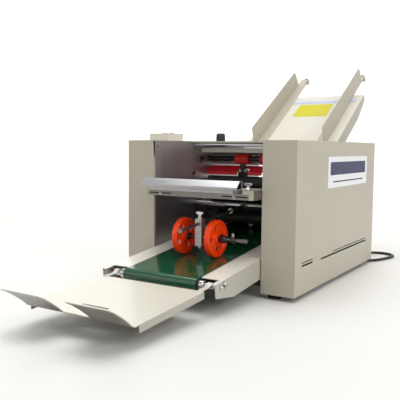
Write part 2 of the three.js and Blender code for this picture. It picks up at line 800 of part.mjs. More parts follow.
const traySheet = 1.6;
const trayTopLevel = 1.4;
const trayRear = -35;
const trayFlangeSetback = 10;
const trayFlangeDrop = 13;
const flapInner = 29;
const flapEdge = 5;
const flapWidth = trayHalfWidth - flapInner - flapEdge;
const flapRise = 40;
const flapReach = 51;
const traySlotHalf = 28;
const traySlotWidth = 5;
const traySlotSetback = 40;
const hookWidth = 10;
const hookFromEdge = 14;
const hookInnerX = trayHalfWidth - hookFromEdge;
const hookRadius = axleRadius + clearance;
const hookTailShare = 2.2;
const hookLandingShare = 0.8;

// The flap's side view: shares of its reach and of its rise
const flapShares = [[0, 0], [0.22, 0.27], [0.47, 0.54], [0.74, 0.8], [1, 1]];

function receivingTray() {
  const front = trayFront;
  const bottom = trayTopLevel - traySheet;
  const deck = box(-trayHalfWidth, trayHalfWidth, front, trayRear, bottom, trayTopLevel);
  const slotY = front + traySlotSetback;
  const slot = box(
    -traySlotHalf, traySlotHalf, slotY, slotY + traySlotWidth, bottom - overrun, trayTopLevel + overrun);
  const flanges = sides.map(([, side]) => {
    const inner = side * (trayHalfWidth - traySheet);
    const outer = side * trayHalfWidth;
    return box(
      Math.min(inner, outer), Math.max(inner, outer), front + trayFlangeSetback, trayRear,
      trayTopLevel - trayFlangeDrop, trayTopLevel);
  });
  const flapPoints = flapShares.map(([reach, rise]) => [
    front - flapReach * reach, bottom + flapRise * rise]);
  const flapOutline = bentSheet([[front + overrun, bottom], ...flapPoints], -traySheet);
  const flaps = sides.map(([, side]) => {
    const inner = side * flapInner;
    const outer = side * (flapInner + flapWidth);
    return extrudeAlongX(flapOutline.slice().reverse(), Math.min(inner, outer), Math.max(inner, outer));
  });
  const over = arc(0, 0, hookRadius, -Math.PI / 6, Math.PI * hookLandingShare, 8);
  const hookTail = [-hookRadius * hookTailShare, 0];
  const hookPoints = [...over, hookTail, [trayRear - overrun, bottom + traySheet / 2]];
  const hookOutline = bentSheet(hookPoints, -traySheet);
  const hooks = sides.map(([, side]) => {
    const inner = side * hookInnerX;
    const outer = side * (hookInnerX + hookWidth);
    return extrudeAlongX(hookOutline.slice().reverse(), Math.min(inner, outer), Math.max(inner, outer));
  });
  return join(cut(deck, slot), ...flanges, ...flaps, ...hooks);
}

add("receiving_tray", receivingTray(), creamPaint, tray);

// Press arm: rod on the cross rod, sliding block, axle with two wheels, wing knob
const arm = new THREE.Group();
arm.position.set(pressRodX, crossRodY, crossRodZ);
arm.rotation.x = beltSlopeAngle;
machine.add(arm);

const armLength = (crossRodY - pressRodFrontY) / Math.cos(beltSlopeAngle);
const armSleeveWall = 3;
const armSleeveRadius = crossRodRadius + armSleeveWall;
const armSleeveHalf = 8;
const armBore = crossRodRadius + clearance;
const armCapRadius = 4.6;
const armCapLength = 7;

function pressRod() {
  const sleeve = ring(armSleeveRadius, armBore, -armSleeveHalf, armSleeveHalf, 24);
  const capStart = armCapLength / 2 - armLength;
  const capEnd = capStart - armCapLength;
  const rodStart = -armBore - sink;
  const rod = turned([
    [0, capEnd], [armCapRadius, capEnd], [armCapRadius, capStart], [pressRodRadius, capStart],
    [pressRodRadius, rodStart], [0, rodStart],
  ], 16).rotateX(-Math.PI / 2);
  return join(sleeve, rod);
}

add("press_rod", pressRod(), zincSteel, arm);

const blockWidth = 15;
const blockDepth = 13;
const blockBottomZ = 97;
const blockTopZ = 152;
const blockTilt = new THREE.Group();
blockTilt.position.set(pressRodX, wheelAxisY, 0);
machine.add(blockTilt);
const rodZAtBlock = crossRodZ - railSlopeRise * (crossRodY - wheelAxisY);
const thumbScrewRadius = 3;
const thumbScrewLength = 5;
const knobStemRadius = 2.5;
const knobStemBottom = rodZAtBlock + pressRodRadius + 2 * clearance;

function pressBlock() {
  const half = blockWidth / 2;
  const block = box(-half, half, -blockDepth / 2, blockDepth / 2, blockBottomZ, blockTopZ);
  const reach = blockDepth / 2 + overrun;
  const radius = pressRodRadius + clearance;
  const rodHole = turned([[0, -reach], [radius, -reach], [radius, reach], [0, reach]], 16)
    .rotateX(-Math.PI / 2).rotateX(beltSlopeAngle).translate(0, 0, rodZAtBlock);
  const axleHole = cylinderAlongX(
    pressAxleRadius + clearance, -half - overrun, half + overrun, 0, wheelAxisZ, 20);
  const screwHole = cylinderAlongZ(
    knobStemRadius + clearance, rodZAtBlock, blockTopZ + overrun, 0, 0, 12);
  const screwBottom = blockBottomZ - thumbScrewLength;
  const screw = cylinderAlongZ(thumbScrewRadius, screwBottom, blockBottomZ + sink, 0, 0, 12);
  return cut(join(block, screw), rodHole, axleHole, screwHole);
}

add("press_block", pressBlock(), zincSteel, blockTilt);

// Axle, from the left nut to the right end, with its collars
const axleLeftEnd = -62;
const axleEndGap = 15;
const axleRightEnd = halfThroat - axleEndGap;
const wheelThickness = 12;
const wheelRightFace = [50, -25.7];
const hubHalf = 8;
const wheelCentres = wheelRightFace.map((x) => x - wheelThickness / 2);
const axleNutRadius = 7;
const knurlRadius = 8;
const stopLength = 5;
const knurlLength = 14;
const clampStart = 78;
const clampLength = 9;

function pressAxle() {
  const r = pressAxleRadius;
  const gap = clearance;
  const leftNut = wheelCentres[1] - hubHalf - gap;
  const leftStop = wheelCentres[1] + hubHalf + gap;
  const rightStop = wheelCentres[0] - hubHalf - gap;
  const rightKnurl = wheelCentres[0] + hubHalf + gap;
  return turnedAlongX([
    [0, axleLeftEnd], [r, axleLeftEnd], [r, leftNut - stopLength], [axleNutRadius, leftNut - stopLength],
    [axleNutRadius, leftNut], [r, leftNut], [r, leftStop], [axleNutRadius, leftStop],
    [axleNutRadius, leftStop + stopLength], [r, leftStop + stopLength], [r, rightStop - stopLength],
    [axleNutRadius, rightStop - stopLength], [axleNutRadius, rightStop], [r, rightStop], [r, rightKnurl],
    [knurlRadius, rightKnurl], [knurlRadius, rightKnurl + knurlLength], [r, rightKnurl + knurlLength],
    [r, clampStart], [axleNutRadius, clampStart], [axleNutRadius, clampStart + clampLength],
    [r, clampStart + clampLength], [r, axleRightEnd], [0, axleRightEnd],
  ], 16).translate(0, wheelAxisY, wheelAxisZ);
}

add("press_axle", pressAxle(), chrome);

// Wheels: rim, thin web with four holes, and a hub
const rimWidth = 6;
const webThickness = 7;
const hubRadius = 10;
const webHoleRadius = 5.5;
const webHoleCircle = 21;
const webHoleCount = 4;
const rimChamfer = 1;

function pressWheel() {
  const bore = pressAxleRadius + clearance;
  const rimInner = wheelRadius - rimWidth;
  const half = wheelThickness / 2;
  const web = webThickness / 2;
  const body = turnedAlongX([
    [bore, -hubHalf], [hubRadius, -hubHalf], [hubRadius, -web], [rimInner, -web], [rimInner, -half],
    [wheelRadius - rimChamfer, -half], [wheelRadius, rimChamfer - half], [wheelRadius, half - rimChamfer],
    [wheelRadius - rimChamfer, half], [rimInner, half], [rimInner, web], [hubRadius, web],
    [hubRadius, hubHalf], [bore, hubHalf], [bore, -hubHalf],
  ], 36);
  const holes = [];
  for (let i = 0; i < webHoleCount; i += 1) {
    const angle = (turn * i) / webHoleCount;
    const y = webHoleCircle * Math.cos(angle);
    const z = webHoleCircle * Math.sin(angle);
    holes.push(cylinderAlongX(webHoleRadius, -wheelThickness, wheelThickness, y, z, 12));
  }
  return cut(body, ...holes);
}

["right", "left"].forEach((name, index) => {
  const wheel = pressWheel().translate(wheelCentres[index], wheelAxisY, wheelAxisZ);
  add(`press_wheel_${name}`, wheel, wheelOrange);
});

// Wing knobs: a stem with two ears
const wingHalf = 8.5;
const wingThickness = 4;
const wingHeight = 7;
const wingRise = 7.5;
const knobCollarHeight = 3;

// The wings' front view: shares of their half width and height
const wingShares = [
  [-0.35, -0.35], [0.35, -0.35], [0.7, 0.3], [1, 0.5], [0.9, 1], [0, 0.75], [-0.9, 1], [-1, 0.5],
  [-0.7, 0.3],
];

function wingKnob(stemBottom, seat) {
  const stem = cylinderAlongZ(knobStemRadius, stemBottom, seat + wingRise + sink, 0, 0, 12);
  const collarBottom = seat + clearance;
  const collar = cylinderAlongZ(knobStemRadius * 2, collarBottom, collarBottom + knobCollarHeight, 0, 0, 16);
  const outline = wingShares.map(([across, up]) => [across * wingHalf, seat + wingRise + up * wingHeight]);
  const wings = extrudeAlongZ(outline, -wingThickness / 2, wingThickness / 2).rotateX(Math.PI / 2);
  return join(stem, collar, wings);
}

add("press_wing_knob", wingKnob(knobStemBottom, blockTopZ), aluminium, blockTilt);

// Front fold plate: a flat pocket that slopes up to the front, with an aluminium bar along its front edge
const foldPlateTiltShare = 0.05;
const foldPlateSideGap = 32;
const foldPlateHalf = halfThroat - foldPlateSideGap;
const foldPlateThickness = 7;
const foldPocket = 3;
const foldMouthY = 184;
const foldMouthDrop = 1;
const foldMouthZ = topRollerZ - rollerPitch / 2 - foldMouthDrop;
const foldFrontY = -60;
const foldBarSideGap = 18;
const foldBarHalf = halfThroat - foldBarSideGap;
const foldTilt = Math.atan(foldPlateTiltShare);
const foldPlateLength = (foldMouthY - foldFrontY) / Math.cos(foldTilt);
const foldSideWall = 6;

const foldGroup = new THREE.Group();
foldGroup.position.set(0, foldMouthY, foldMouthZ);
foldGroup.rotation.x = -foldTilt;
machine.add(foldGroup);

function foldPocketPlate(length) {
  const half = foldPlateThickness / 2;
  const slab = box(-foldPlateHalf, foldPlateHalf, -length, 0, -half, half);
  const pocket = box(
    -foldPlateHalf + foldSideWall, foldPlateHalf - foldSideWall, -length + foldSideWall, overrun,
    -foldPocket / 2, foldPocket / 2);
  return cut(slab, pocket);
}

const barOverhang = 10;
const barFront = -foldPlateLength - barOverhang;
const barBottom = foldPlateThickness / 2 + clearance;
const barLip = 4.5;
const barHeight = 17;
const barDepth = 22;
const barWall = 2;

// The bar's side view: a bright lip, a face that leans back and a flat top
const barPoints = [
  [barFront + barDepth, barBottom], [barFront, barBottom], [barFront, barBottom + barLip],
  [barFront + barDepth / 2, barBottom + barHeight], [barFront + barDepth, barBottom + barHeight],
];
const barHollow = [
  [barFront + barDepth - barWall, barBottom + barWall], [barFront + barWall, barBottom + barWall],
  [barFront + barWall, barBottom + barLip],
  [barFront + barDepth / 2 + barWall, barBottom + barHeight - barWall],
  [barFront + barDepth - barWall, barBottom + barHeight - barWall],
];

add("front_fold_plate", foldPocketPlate(foldPlateLength), zincSteel, foldGroup);
const frontBar = extrudeAlongX(barPoints.reverse(), -foldBarHalf, foldBarHalf, [barHollow]);
add("fold_plate_bar", frontBar, aluminium, foldGroup);

// Support for the fold plate: a slotted bar with two arms back to the side plates and end blocks
const supportY = -34;
const supportDepth = 12;
const supportHeight = 11;
const supportRearY = supportY + supportDepth;
const foldPlateUnder = foldPlateThickness / 2 / Math.cos(foldTilt) + clearance;
const foldPlateSeat = (y) => foldMouthZ + foldPlateTiltShare * (foldMouthY - y) - foldPlateUnder;
const supportTop = foldPlateSeat(supportRearY);
const supportBottom = supportTop - supportHeight;
const armRearY = 60;
const armThickness = 3.5;
const supportSlotHeight = 2.4;
const supportSlotGap = 14;
const supportSlotLength = 56;
const supportSlotEnd = halfThroat - supportSlotGap;
const supportSlotStart = supportSlotEnd - supportSlotLength;
const endBlockWidth = 25;
const endBlockInner = halfThroat - endBlockWidth;
const endBlockDepth = 30;
const endBlockHeight = 7.7;
const endBlockTop = supportTop + endBlockHeight;
const foldKnobGap = 16;
const foldKnobX = halfThroat - foldKnobGap;
const foldKnobStem = 12;

function foldPlateSupport() {
  const bar = extrudeAlongX([
    [supportY, supportBottom], [supportRearY, supportBottom], [supportRearY, supportTop],
    [supportY, foldPlateSeat(supportY)],
  ], -wallFace, wallFace);
  const slotZ = (supportBottom + supportTop) / 2;
  const slots = sides.map(([, side]) => {
    const a = side * supportSlotStart;
    const b = side * supportSlotEnd;
    return box(
      Math.min(a, b), Math.max(a, b), supportY - overrun, supportRearY + overrun,
      slotZ - supportSlotHeight / 2, slotZ + supportSlotHeight / 2);
  });
  const arms = sides.map(([, side]) => {
    const a = side * (wallFace - armThickness);
    const b = side * wallFace;
    return box(Math.min(a, b), Math.max(a, b), supportY, armRearY, supportBottom, supportTop);
  });
  const blocks = sides.map(([, side]) => {
    const a = side * endBlockInner;
    const b = side * wallFace;
    return box(
      Math.min(a, b), Math.max(a, b), supportY, supportY + endBlockDepth, supportTop - sink, endBlockTop);
  });
  const stems = sides.map(([, side]) => cylinderAlongZ(
    knobStemRadius + clearance, endBlockTop - foldKnobStem - clearance, endBlockTop + overrun,
    side * foldKnobX, supportY + supportDepth / 2, 12));
  return cut(join(bar, ...arms, ...blocks), ...slots, ...stems);
}

add("fold_plate_support", foldPlateSupport(), housingPaint);
sides.forEach(([name, side]) => {
  const knob = wingKnob(endBlockTop - foldKnobStem, endBlockTop);
  knob.translate(side * foldKnobX, supportY + supportDepth / 2, 0);
  add(`fold_plate_knob_${name}`, knob, aluminium);
});

// Rear fold plate, behind the middle pair of rollers
const rearPlateY = 216.5;
const rearPlateLength = 225;
const rearPlateZ = topRollerZ - 1.5 * rollerPitch;
const rearPlateTabY = [60, 180];
const rearPlateTabLength = 20;

function rearFoldPlate() {
  const half = foldPlateThickness / 2;
  const slab = foldPocketPlate(rearPlateLength).rotateZ(Math.PI);
  const tabs = rearPlateTabY.flatMap((y) => sides.map(([, side]) => {
    const a = side * (foldPlateHalf - sink);
    const b = side * wallFace;
    return box(Math.min(a, b), Math.max(a, b), y, y + rearPlateTabLength, -half, 0);
  }));
  return join(slab, ...tabs);
}

add("rear_fold_plate", rearFoldPlate().translate(0, rearPlateY, rearPlateZ), zincSteel);

// Feed table: one bent sheet, from the deck behind the feed hubs up to the table's top edge
const hubToDeck = 0.5;
const deckZ = feedShaftZ - feedHubRadius - hubToDeck;
const deckFrontY = 244;
const tableFlangeTop = 18;
const tableFlangeFull = 34;
const tableFlangeLower = 110;
const tableFlangeUpper = 75;
const tableTabSetback = 30;
const deckRearY = tableTopY - (tableTopZ - deckZ) / Math.tan(tableTilt);

function feedTable() {
  const points = [[tableTopY, tableTopZ], [deckRearY, deckZ], [deckFrontY, deckZ]];
  const sheet = extrudeAlongX(bentSheet(points, tableSheet), -tableHalfWidth, tableHalfWidth);
  const along = (s, h) => [
    tableTopY - s * Math.cos(tableTilt) - h * Math.sin(tableTilt),
    tableTopZ - s * Math.sin(tableTilt) + h * Math.cos(tableTilt),
  ];
  const flangeEnd = (tableTopY - deckRearY) / Math.cos(tableTilt) - tableFlangeLower;
  const outline = [
    along(0, -tableSheet / 2), along(0, -tableFlangeTop), along(tableFlangeUpper, -tableFlangeFull),
    along(flangeEnd, -tableFlangeFull), along(flangeEnd + tableFlangeFull, -tableSheet / 2),
  ];
  const flanges = sides.map(([, side]) => {
    const a = side * (tableHalfWidth - tableSheet);
    const b = side * tableHalfWidth;
    return extrudeAlongX(outline.slice().reverse(), Math.min(a, b), Math.max(a, b));
  });
  const tabs = sides.map(([, side]) => {
    const a = side * (tableHalfWidth - overrun);
    const b = side * wallFace;
    const front = deckFrontY + tableTabSetback;
    return box(Math.min(a, b), Math.max(a, b), front, deckRearY - overrun, deckZ - tableSheet / 2, deckZ);
  });
  return join(sheet, ...flanges, ...tabs);
}

add("feed_table", feedTable(), creamPaint);

// Side guides of the feed table, in its tilted frame: x across, y up the slope, z off the table
const tableGroup = new THREE.Group();
tableGroup.position.set(0, tableTopY, tableTopZ);
tableGroup.rotation.x = tableTilt;
machine.add(tableGroup);

const guideFromEdge = 27.3;
const guideX = tableHalfWidth - guideFromEdge;
const guideSheet = 1.5;
const guideStripWidth = 28;
const guideStripEnd = 112;
const guideStripNarrow = 22;
const guidePlateRear = 81;
const guideTip = [74, 47.5];
const guideFront = [-255, 49.5];
const guideFrontFoot = -268;
const guideLugDrop = 15;
const guideKnobRadius = 8;
const guideKnobThickness = 12;
const guideKnobChamfer = 1;
const guideKnobStem = 4;
const guideKnobX = guideX - guideStripNarrow / 2;
const guideKnobZ = -guideLugDrop / 2;

function feedGuide(side) {
  const base = clearance;
  const wallOutline = [[guideFrontFoot, base], [guidePlateRear, base], guideTip, guideFront];
  const wall = extrudeAlongX(wallOutline, guideX - guideSheet, guideX);
  const inner = guideX - guideStripWidth;
  const lower = box(inner, guideX, guideFrontFoot, guidePlateRear, base, base + guideSheet);
  const upper = box(
    guideX - guideStripNarrow, guideX, guidePlateRear - overrun, guideStripEnd, base, base + guideSheet);
  const lugFront = guideStripEnd - guideSheet;
  const lugTop = base + guideSheet / 2;
  const lug = box(guideX - guideStripNarrow, guideX, lugFront, guideStripEnd, -guideLugDrop, lugTop);
  const screwHole = cylinderAlongZ(knobStemRadius + clearance, -overrun, overrun, 0, 0, 12)
    .rotateX(-Math.PI / 2).translate(guideKnobX, guideStripEnd, guideKnobZ);
  return handed(cut(join(wall, lower, upper, lug), screwHole), side);
}

function guideKnob(side) {
  const inner = guideKnobRadius - guideKnobChamfer;
  const knob = turned([
    [0, -guideKnobStem], [knobStemRadius, -guideKnobStem], [knobStemRadius, 0], [inner, 0],
    [guideKnobRadius, guideKnobChamfer], [guideKnobRadius, guideKnobThickness - guideKnobChamfer],
    [inner, guideKnobThickness], [0, guideKnobThickness],
  ], 20).rotateX(-Math.PI / 2);
  return knob.translate(side * guideKnobX, guideStripEnd + clearance, guideKnobZ);
}

sides.forEach(([name, side]) => {
  add(`feed_guide_${name}`, feedGuide(side), creamPaint, tableGroup);
  add(`guide_knob_${name}`, guideKnob(side), blackPlastic, tableGroup);
});

// Everything so far is the machine itself. It is centred on its own box before the cord is added
machine.updateMatrixWorld(true);
const extent = new THREE.Box3().setFromObject(machine, true);
const centreY = (extent.min.y + extent.max.y) / 2;

// Cord gland in the right housing's rear wall
const glandRadius = 9;
const glandLength = 24;
const glandInside = 10;
const glandShoulderShare = 0.5;
const glandNoseWall = 1.5;
const cordRadius = 3.5;

function cordGland() {
  const stem = glandStemRadius - clearance;
  const inside = -coverSheet - glandInside;
  return turned([
    [0, inside], [stem, inside], [stem, clearance], [glandRadius, clearance],
    [glandRadius, glandLength * glandShoulderShare], [cordRadius + glandNoseWall, glandLength],
    [0, glandLength],
  ], 20).rotateX(-Math.PI / 2).translate(cordOutletX, housingDepth, cordOutletZ);
}

add("cord_gland", cordGland(), blackPlastic);

// The coil behind the machine: two layers of loops that spiral in, climb, and spiral out again
const coilFromOutlet = [-90, 71];
const coilCentre = [cordOutletX + coilFromOutlet[0], housingDepth + coilFromOutlet[1]];
const coilOuterRadius = 51;
const coilPitch = 8.8;
const coilLayerRise = 8;
const coilLoopsPerLayer = 2.5;
const coilClimbLoops = 0.5;
const coilLoops = 2 * coilLoopsPerLayer + coilClimbLoops;
const coilSteps = 24;
const coilSides = 6;
const coilStartAngle = -Math.PI / 2;
const cordFloor = cordRadius + clearance;

// One point of the coil's centre line, for a number of loops run since its start
function coilPoint(loops) {
  const climbStart = coilLoopsPerLayer;
  const climbEnd = coilLoopsPerLayer + coilClimbLoops;
  let inward = loops;
  let rise = 0;
  if (loops > climbEnd) {
    inward = coilLoops - loops;
    rise = coilLayerRise;
  } else if (loops > climbStart) {
    const share = (loops - climbStart) / (climbEnd - climbStart);
    inward = climbStart;
    rise = coilLayerRise * share;
  }
  const radius = coilOuterRadius - coilPitch * inward;
  const angle = coilStartAngle - turn * loops;
  const x = coilCentre[0] + radius * Math.cos(angle);
  const y = coilCentre[1] + radius * Math.sin(angle);
  return new THREE.Vector3(x, y, cordFloor + rise);
}

// A closed tube of flat sided rings along a row of centre points
function tubeAlong(points, radius, sideCount) {
  const positions = [];
  const index = [];
  const up = new THREE.Vector3(0, 0, 1);
  points.forEach((point, i) => {
    const ahead = points[Math.min(i + 1, points.length - 1)];
    const behind = points[Math.max(i - 1, 0)];
    const along = ahead.clone().sub(behind).normalize();
    const across = new THREE.Vector3().crossVectors(up, along).normalize();
    const lift = new THREE.Vector3().crossVectors(along, across);
    for (let k = 0; k < sideCount; k += 1) {
      const angle = (turn * (k + 0.5)) / sideCount;
      const corner = point.clone().addScaledVector(across, radius * Math.cos(angle));
      corner.addScaledVector(lift, radius * Math.sin(angle));
      positions.push(corner.x, corner.y, corner.z);
    }
  });
  const last = (points.length - 1) * sideCount;
  for (let i = 0; i < points.length - 1; i += 1) {
    for (let k = 0; k < sideCount; k += 1) {
      const a = i * sideCount + k;
      const b = i * sideCount + ((k + 1) % sideCount);
      index.push(a, b, a + sideCount, b, b + sideCount, a + sideCount);
    }
  }
  for (let k = 1; k < sideCount - 1; k += 1) {
    index.push(0, k + 1, k);
    index.push(last, last + k, last + k + 1);
  }
  const geometry = new THREE.BufferGeometry();
  geometry.setAttribute("position", new THREE.BufferAttribute(new Float32Array(positions), 3));
  geometry.setIndex(index);
  geometry.computeVertexNormals();
  return geometry;
}

const coilPoints = [];
for (let i = 0; i <= coilLoops * coilSteps; i += 1) {
  coilPoints.push(coilPoint(i / coilSteps));
}

// Straight ends, one cord diameter long
const coilStartRun = coilPoints[0].clone().sub(coilPoints[1]).setZ(0).normalize();
const coilEndRun = coilPoints.at(-1).clone().sub(coilPoints.at(-2)).setZ(0).normalize();
coilPoints.unshift(coilPoints[0].clone().addScaledVector(coilStartRun, 2 * cordRadius));
coilPoints.push(coilPoints.at(-1).clone().addScaledVector(coilEndRun, 2 * cordRadius));

// The least gap between turns that aren't neighbours along the cord
const neighbourSteps = 6;

function leastGap(points, radius) {
  let least = Infinity;
  for (let i = 0; i < points.length; i += 1) {
    for (let k = i + neighbourSteps; k < points.length; k += 1) {
      const a = points[k].clone().sub(points[i]);
      const next = points[Math.min(i + 1, points.length - 1)].clone().sub(points[i]);
      const share = next.lengthSq() > 0 ? Math.min(Math.max(a.dot(next) / next.lengthSq(), 0), 1) : 0;
      least = Math.min(least, a.addScaledVector(next, -share).length() - 2 * radius);
    }
  }
  return least;
}

const runLength = (points) => points.slice(1)
  .reduce((sum, point, i) => sum + point.distanceTo(points[i]), 0);
console.log("least gap in the coil", leastGap(coilPoints, cordRadius).toFixed(2));
console.log("length of the coil", runLength(coilPoints).toFixed(0));
add("cord_coil", tubeAlong(coilPoints, cordRadius, coilSides), blackRubber);

// The free stretch from the gland to the coil: points chosen by hand, measured from the outlet in the rear
// wall across and along, and from the table up
const cordRoute = [
  [0, 24.4, 27], [0, 34, 26.2], [0, 47, 20.8], [0, 60.5, 12.9], [0.6, 74, 6.6], [2.3, 89, 4],
  [6, 105, 3.8], [15, 120, 3.8], [29, 129.5, 3.8], [45, 132, 3.8], [61, 128, 3.8], [74, 118, 3.8],
  [81.5, 103, 3.8], [81, 85, 3.8], [76, 64, 3.8], [69.5, 43, 3.8], [62, 24.5, 3.8], [52, 9.5, 3.8],
  [38, 0.5, 3.8], [22, -2, 3.8], [5, 1, 3.8], [-15, 7.5, 3.8], [-38, 14.5, 3.8], [-60, 19, 3.8],
].map(([x, y, z]) => new THREE.Vector3(cordOutletX + x, housingDepth + y, z));
const coilMouth = coilPoints[0].clone().addScaledVector(coilStartRun, clearance);
const coilApproach = coilMouth.clone().addScaledVector(coilStartRun, 2 * cordRadius);
const cordPath = new THREE.CatmullRomCurve3([...cordRoute, coilApproach, coilMouth]);
const cordSection = new THREE.Shape();
const cordSectionSides = 8;
for (let k = 0; k < cordSectionSides; k += 1) {
  const angle = (turn * (k + 0.5)) / cordSectionSides;
  const corner = [cordRadius * Math.cos(angle), cordRadius * Math.sin(angle)];
  if (k === 0) cordSection.moveTo(...corner);
  else cordSection.lineTo(...corner);
}
cordSection.closePath();
console.log("length from gland to coil", cordPath.getLength().toFixed(0));
const cordRadiiPerStep = 5;
const cordSteps = Math.round(cordPath.getLength() / (cordRadiiPerStep * cordRadius));
const powerCord = new THREE.ExtrudeGeometry(cordSection, { steps: cordSteps, extrudePath: cordPath });
add("power_cord", powerCord, blackRubber);

// Mains plug at the coil's other end
const plugLength = 52;
const plugNeck = 30;
const plugRadius = 13;
const pinLength = 17;
const pinWidth = 6.4;
const pinThickness = 1.6;
const pinSpacing = 12.7;

const plugShoulder = 5;
const plugNeckShare = 0.7;
const plugShoulderShare = 0.8;
const plugFlatShare = 0.87;

function powerPlug() {
  const neckRadius = cordRadius + glandNoseWall;
  const body = turned([
    [0, 0], [neckRadius, 0], [neckRadius + sink, plugNeck * plugNeckShare],
    [plugRadius * plugShoulderShare, plugNeck], [plugRadius, plugNeck + plugShoulder],
    [plugRadius, plugLength], [0, plugLength],
  ], 16).scale(1, plugFlatShare, 1);
  const pins = sides.map(([, side]) => {
    const x = (side * pinSpacing) / 2;
    const end = plugLength + pinLength;
    const half = pinThickness / 2;
    return box(x - half, x + half, -pinWidth / 2, pinWidth / 2, plugLength - sink, end);
  });
  return join(body, ...pins);
}

const plug = powerPlug().rotateX(-Math.PI / 2);
plug.translate(0, clearance, 0);
const plugGroup = new THREE.Group();
plugGroup.position.copy(coilPoints.at(-1));
plugGroup.rotation.z = Math.atan2(coilEndRun.y, coilEndRun.x) - Math.PI / 2;
machine.add(plugGroup);
add("power_plug", plug, blackPlastic, plugGroup);

machine.position.y = -centreY;
machine.updateMatrixWorld(true);
console.log("centre shift", centreY.toFixed(3));

const group = new THREE.Group();
group.add(machine);
export default group;
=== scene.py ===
from math import atan, atan2, cos, pi, radians, sin

import bmesh
import bpy
from mathutils import Matrix, Vector


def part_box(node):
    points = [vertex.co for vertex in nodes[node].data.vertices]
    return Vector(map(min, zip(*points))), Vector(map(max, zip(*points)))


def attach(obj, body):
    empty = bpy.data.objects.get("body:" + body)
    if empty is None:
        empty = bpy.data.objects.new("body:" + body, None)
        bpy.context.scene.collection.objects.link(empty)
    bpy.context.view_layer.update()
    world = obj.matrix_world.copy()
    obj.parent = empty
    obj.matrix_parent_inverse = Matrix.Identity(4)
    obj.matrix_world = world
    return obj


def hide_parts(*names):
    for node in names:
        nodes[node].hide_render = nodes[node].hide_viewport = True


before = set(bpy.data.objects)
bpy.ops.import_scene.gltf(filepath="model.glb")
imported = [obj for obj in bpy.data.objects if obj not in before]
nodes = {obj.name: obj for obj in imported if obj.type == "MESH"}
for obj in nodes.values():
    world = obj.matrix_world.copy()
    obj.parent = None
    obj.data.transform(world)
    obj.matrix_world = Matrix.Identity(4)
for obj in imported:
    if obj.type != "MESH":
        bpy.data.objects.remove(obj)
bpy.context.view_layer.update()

centreShift = 160.407  # mm, the machine is centred on its own length
toFrame = Matrix.Scale(0.001, 4) @ Matrix.Translation((0, -centreShift, 0))


# Camera, floor and light: a product shot on white, seen from low on the right

cameraSet = {
    "place": (0.637507, -1.181809, 0.293950),
    "turn": (84.78618, -0.45520, 32.28817),
    "lens": 52.9657,
    "shift": (-0.00533, 0.00408),
}
stageSet = {
    "floorColour": "#E8E7E4",
    "skyColour": "#FFFFFF",
    "wallRadius": 4.6,
    "wallHeight": 3.2,
    "bend": 1.6,
    "segments": 96,
    "bendSteps": 16,
    "wallAim": (-3.0, 4.0, 0.4),
    "machineAim": (0, -0.05, 0.15),
    "skyStrength": 0.5,
}
lamps = [
    # name, place, size, power, colour
    ("keyFromRight", (2.6, -0.9, 1.7), (1.4, 1.4), 27, "#FFFEFB"),
    ("fillFromLeft", (-2.2, -2.2, 1.2), (1.8, 1.2), 5, "#F8FAFF"),
    ("topSoftbox", (-0.1, 0.1, 2.3), (2.4, 2.0), 41, "#FFFFFF"),
    ("wallWash", (-2.4, 2.2, 2.6), (5.5, 0.9), 105, "#FFFFFF"),
]


def linear(hexColour):
    # From an sRGB hex value to Blender's linear colour
    value = hexColour.lstrip("#")
    parts = [int(value[i:i + 2], 16) / 255 for i in (0, 2, 4)]
    parts = [c / 12.92 if c <= 0.04045 else ((c + 0.055) / 1.055) ** 2.4 for c in parts]
    return (*parts, 1.0)


def addNode(tree, kind, inputs=None, **settings):
    node = tree.nodes.new(kind)
    for name, value in settings.items():
        setattr(node, name, value)
    for name, value in (inputs or {}).items():
        if isinstance(value, bpy.types.NodeSocket):
            tree.links.new(value, node.inputs[name])
        else:
            node.inputs[name].default_value = value
    return node


def linked(obj):
    bpy.context.scene.collection.objects.link(obj)
    return obj


camera = linked(bpy.data.objects.new("camera", bpy.data.cameras.new("camera")))
camera.location = cameraSet["place"]
camera.rotation_euler = [radians(a) for a in cameraSet["turn"]]
camera.data.lens = cameraSet["lens"]
camera.data.shift_x, camera.data.shift_y = cameraSet["shift"]
bpy.context.scene.camera = camera
bpy.context.scene.view_settings.view_transform = "Standard"

for name, place, (width, depth), power, colour in lamps:
    data = bpy.data.lights.new(name, "AREA")
    data.shape = "RECTANGLE"
    data.size = width
    data.size_y = depth
    data.energy = power
    data.color = linear(colour)[:3]
    lamp = linked(bpy.data.objects.new(name, data))
    lamp.location = place
    target = Vector(stageSet["wallAim" if name == "wallWash" else "machineAim"])
    lamp.rotation_euler = (target - Vector(place)).to_track_quat("-Z", "Y").to_euler()

world = bpy.data.worlds.new("studio")
world.use_nodes = True
sky = world.node_tree.nodes["Background"].inputs
sky["Color"].default_value = linear(stageSet["skyColour"])
sky["Strength"].default_value = stageSet["skyStrength"]
bpy.context.scene.world = world
print("camera and lights are set")


# Materials. Sizes are real ones in millimetres: how far apart the marks of a pattern are

surfaceSet = {
    "paintedShadeLow": -0.8,  # a face's upward share where the painted shade is full
    "paintedShadeHigh": 0.9,  # and where no painted shade is left
    "flatEdge": 0.999,  # cosine between the flat and the rounded normal, unworn
    "wornEdge": 0.93,
    "waveFactor": 20,  # a wave texture multiplies its coordinates by this
}


